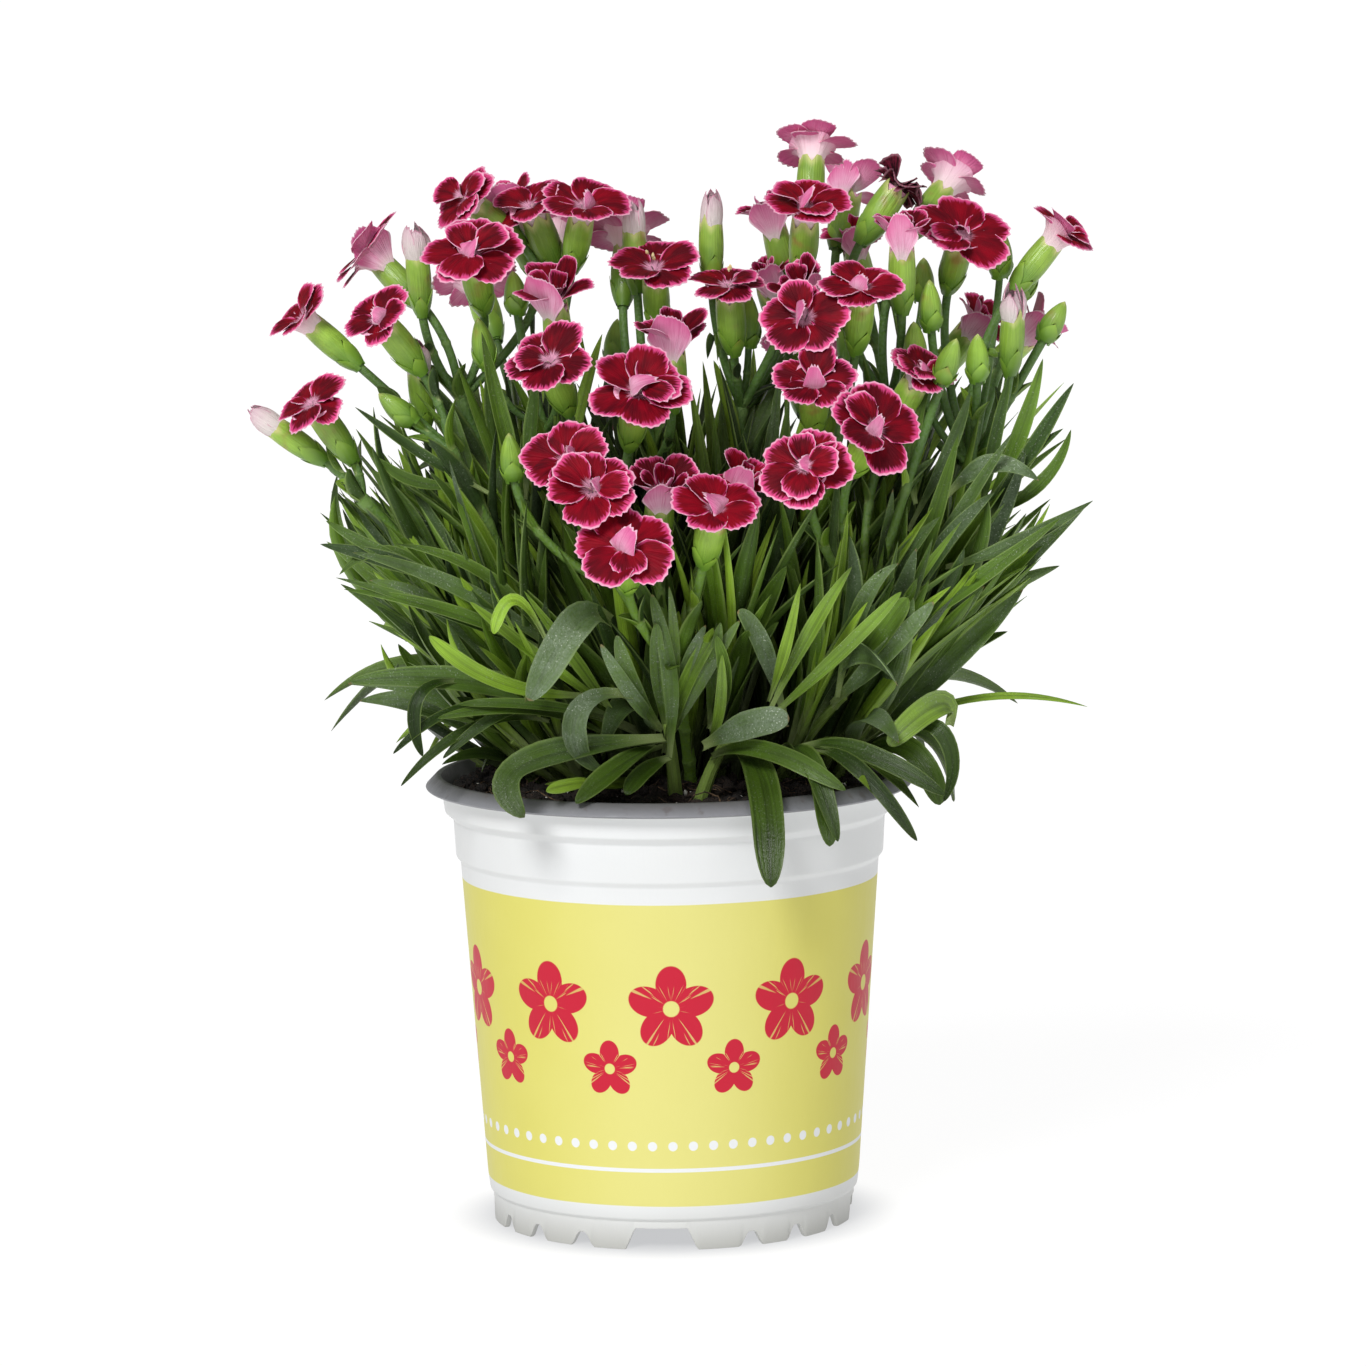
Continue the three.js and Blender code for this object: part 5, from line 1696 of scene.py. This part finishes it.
def make_flower(number, flower):
    """Five broad petals, none to three on them, and often a tongue or anthers. A flower seen from the side
    is drawn a little to the front. One that looks away lifts its near petals and shows its pink back."""
    rng = np.random.default_rng(300 + number)
    radius = flower[5]
    head = flower_head(flower)
    mouth, axis = head
    facing = axis @ FRONT
    away = facing < AWAY_BELOW
    near = turn_to(axis, FRONT)
    if abs(facing) < ASIDE_BELOW:
        head = mouth, unit(axis + 0.4 * FRONT)
    skin = Gather()
    tone = rng.uniform(0, 1)
    start = near if away else rng.uniform(0, 2 * np.pi)
    droop = rng.uniform(-8, 10)
    turns = start + np.arange(5) * 2 * np.pi / 5 + rng.normal(0, 0.1, 5)
    elevations = droop + rng.normal(0, 7.0, 5) + away * 42.0 * np.maximum(0.0, np.cos(turns - near))
    add_funnel(skin, head, tone, turns, elevations)
    for turn, elevation in zip(turns, elevations):
        reach = radius * rng.uniform(0.95, 1.06)
        add_petal(
            skin, head, turn, raised(2.4, THROAT_TOP, reach, elevation), rng.uniform(0.88, 1.08), rng,
            tone * 0.8 + rng.uniform(0, 0.2), size=BROAD_PETAL, ruffle=rng.uniform(0.15, 0.5),
            cup=rng.uniform(-0.9, 0.5),
        )
    for k in range(rng.choice([0, 1, 1, 2, 3])):
        reach = radius * rng.uniform(0.72, 0.92)
        turn = start + 0.6 + rng.uniform(0, 2 * np.pi)
        nearness = math.cos(turn - near)
        elevation = max(droop, 0.0) + 4 + rng.uniform(0, 28) * (0.5 - 0.5 * nearness)
        cup = rng.uniform(-0.8, -0.2) if nearness > 0 else rng.uniform(0.0, 1.0)
        add_petal(
            skin, head, turn, raised(2.0, THROAT_TOP + 1 + 0.5 * k, reach, elevation),
            rng.uniform(0.8, 1.05), rng,
            tone * 0.8 + rng.uniform(0, 0.2), ruffle=rng.uniform(0.1, 0.4), cup=cup, lean=0.3,
        )
    if away and radius > 11.5:
        add_erect(skin, head, near, 11.5, 12.0, rng)
    if facing > 0.2 and rng.random() < 0.75:
        add_tongue(skin, head, near + rng.normal(0, 1.0), radius, rng)
    elif facing > 0.2 and rng.random() < 0.4:
        add_anthers(skin, head, rng)
    name, solid = f"bloom_{number:02d}", f"flower_{number:02d}"
    return skin.make(name, [FACE, BACK, ANTHER], "petal", [solid], crease=50.0)


open_flowers = [flower for stem in STEMS for flower in stem["open"]]
blooms = [make_flower(k + 1, flower) for k, flower in enumerate(open_flowers)]
print("open flowers:", len(blooms), "with", sum(len(piece.data.polygons) for piece in blooms), "quads")

# %% [markdown]
# ## Opening, closed and faded flowers
#
# The same petals stand up here instead of lying flat. In a cup they still show crimson between their
# pink backs, in a tuft they are pale and rolled together at the mouth of the calyx, and in a faded
# flower they are dark and crumpled.

# %% Cups, tufts and faded flowers
CUP_SMALLEST = 7.0  # a cup with a smaller radius than this is drawn with this one
ROLLED = 0.45  # how far from the axis a tuft's outer petals end, as a share of their reach


def make_cup(number, flower):
    """An erect petal at the front, four more at very different elevations, and three small ones
    inside."""
    rng = np.random.default_rng(400 + number)
    radius = max(flower[5], CUP_SMALLEST) * 1.1
    head = flower_head(flower)
    skin = Gather()
    tone = rng.uniform(0, 1)
    near = turn_to(head[1], FRONT)
    start = near + rng.normal(0, 0.2)
    add_funnel(skin, head, tone)
    turn, tall = near + rng.normal(0, 0.3), radius * rng.uniform(1.1, 1.45)
    add_erect(skin, head, turn, tall, radius * rng.uniform(1.0, 1.25), rng)
    for k in range(1, 5):
        turn = start + k * 2 * np.pi / 5 + rng.normal(0, 0.15)
        elevation = 40 + 20 * math.cos(turn - near) + rng.normal(0, 16)
        reach = radius * rng.uniform(0.9, 1.1) * (1 + 0.4 * math.sin(math.radians(elevation)))
        side_view = raised(2.6, 3.4, reach, elevation)
        add_petal(
            skin, head, turn, side_view, rng.uniform(0.8, 1.0), rng, tone, size=BROAD_PETAL,
            ruffle=rng.uniform(0.2, 0.6), cup=rng.uniform(-0.4, 1.0),
        )
    for k in range(3):
        side_view = raised(1.8, THROAT_TOP, radius * rng.uniform(0.6, 0.95), rng.uniform(45, 85))
        turn = start + 0.6 + k * 2.1 + rng.normal(0, 0.3)
        add_petal(skin, head, turn, side_view, rng.uniform(0.8, 1.2), rng, tone, ruffle=0.4, cup=0.4)
    return skin.make(f"cup_{number:02d}", [FACE, BACK], "petal", crease=50.0)


def make_tuft(number, flower):
    """Four pale petals rolled round two that fill the middle, hardly wider than the mouth."""
    rng = np.random.default_rng(500 + number)
    head = flower_head(flower)
    skin = Gather()
    start = rng.uniform(0, 2 * np.pi)
    for k in range(6):
        tall = rng.uniform(6.5, 9.0)
        reach = flower[5] * rng.uniform(0.75, 1.05)
        inner = ROLLED if k < 4 else 0.0
        side_view = [(1.9, -3.0), (2.6, 1.0), ((0.7 + inner) * reach, 0.6 * tall), (inner * reach, tall)]
        turn = start + k * 2 * np.pi / 5 + rng.normal(0, 0.2)
        add_petal(
            skin, head, turn, side_view, rng.uniform(0.8, 1.1), rng, rng.uniform(0, 1),
            ruffle=0.3, cup=-0.5, lean=0.4, round_off=0.3,
        )
    return skin.make(f"tuft_{number:02d}", [PALE, PALE], "petal", crease=50.0)


def make_faded(number, flower):
    """Eight petals that hang and crumple, each with a strong ruffle."""
    rng = np.random.default_rng(600 + number)
    head = flower_head(flower)
    skin = Gather()
    add_funnel(skin, head, 0.9)
    for k in range(8):
        side_view = raised(2.6, 3.0, flower[5] * rng.uniform(0.85, 1.15), rng.uniform(-25, 35))
        turn = k * 0.8 + rng.normal(0, 0.2)
        add_petal(
            skin, head, turn, side_view, rng.uniform(0.7, 1.1), rng, rng.uniform(0, 1), sides=(2, 2),
            ruffle=rng.uniform(1.0, 2.0), cup=rng.uniform(-2.0, 2.0), lean=1.5, round_off=0.2,
        )
    return skin.make(f"faded_{number:02d}", [FACE, BACK, FADED], "petal", crease=50.0)


for kind, make in (("cups", make_cup), ("tufts", make_tuft), ("faded", make_faded)):
    made = [make(k + 1, flower) for k, flower in enumerate(f for stem in STEMS for f in stem[kind])]
    print(f"{kind}:", len(made))

# %% [markdown]
# ## Light and floor
#
# A light box: the floor glows by itself, so that it stays white where the pot shades it. Close to the
# foot its glow is dimmed, a painted shadow. The sky is dim, and one lamp from the left of the viewer
# lights the front of every petal and leaves the gaps between the leaves dark. A very broad weak lamp
# lifts the other side.

# %% Light and floor
FLOOR_REACH = 60.0  # metres
FLOOR_GLOW = 0.93
FOOT_SHADE = (0.036, 0.060)  # from the pot's axis: darkest within the first, untouched beyond the second

floor_finish = Finish("floor", 0.9)
floor_finish.shader.inputs["Base Color"].default_value = (0.12, 0.12, 0.12, 1.0)
east, north, _ = floor_finish.split(floor_finish.place())
from_pot = (east ** 2.0 + north ** 2.0) ** 0.5
# painted shadow: the floor's glow is dimmed close to the pot's foot
floor_glow_and_painted_shadow = from_pot.rise(*FOOT_SHADE).blend(paint(196, 197, 199), paint(255, 255, 255))
floor_finish.feed("Emission Color", floor_glow_and_painted_shadow)
floor_finish.shader.inputs["Emission Strength"].default_value = FLOOR_GLOW
floor_mesh = bpy.data.meshes.new("floor")
corners = [(-1, -1, 0), (1, -1, 0), (1, 1, 0), (-1, 1, 0)]
floor_mesh.from_pydata((np.array(corners) * FLOOR_REACH).tolist(), [], [(0, 1, 2, 3)])
floor_mesh.materials.append(floor_finish.material)
floor = bpy.data.objects.new("floor", floor_mesh)
bpy.context.scene.collection.objects.link(floor)

SKY_LOW, SKY_HIGH = 0.5, 0.24
world = bpy.data.worlds.new("sky")
bpy.context.scene.world = world
world.use_nodes = True
sky = Value(world.node_tree)
ray = sky.node("TexCoord", out=0)
slope = sky.node("SeparateXYZ", sockets={0: ray}, out=2)
glow = slope.rise(0.02, 0.2) * (SKY_HIGH - SKY_LOW) + SKY_LOW
world.node_tree.links.new(glow.socket, world.node_tree.nodes["Background"].inputs["Strength"])
world.node_tree.nodes["Background"].inputs["Color"].default_value = (1.0, 1.0, 1.0, 1.0)


def add_sun(name, turn, rise, strength, spread):
    """A far light from a direction, as wide across as `spread` degrees, which makes its shadows soft."""
    light = bpy.data.lights.new(name, "SUN")
    light.energy = strength
    light.angle = math.radians(spread)
    made = bpy.data.objects.new(name, light)
    bpy.context.scene.collection.objects.link(made)
    made.rotation_euler = (math.radians(90 - rise), 0.0, math.radians(turn))


add_sun("key", turn=-24, rise=38, strength=2.2, spread=20)
add_sun("fill", turn=20, rise=20, strength=0.35, spread=60)
bpy.context.scene.view_settings.view_transform = "Standard"
print("light and floor ready")

# %% [markdown]
# ## Measure and finish
#
# The fine plant is meant to fill the same box as the imported solids. The triangles of the added pieces
# are counted.

# %% Measure and finish
added = [piece for piece in bpy.data.objects if piece.type == "MESH" and piece.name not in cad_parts]
triangles = {piece.name: sum(len(face.vertices) - 2 for face in piece.data.polygons) for piece in added}
print("triangles added:", sum(triangles.values()), "most in one piece:", max(triangles.values()))
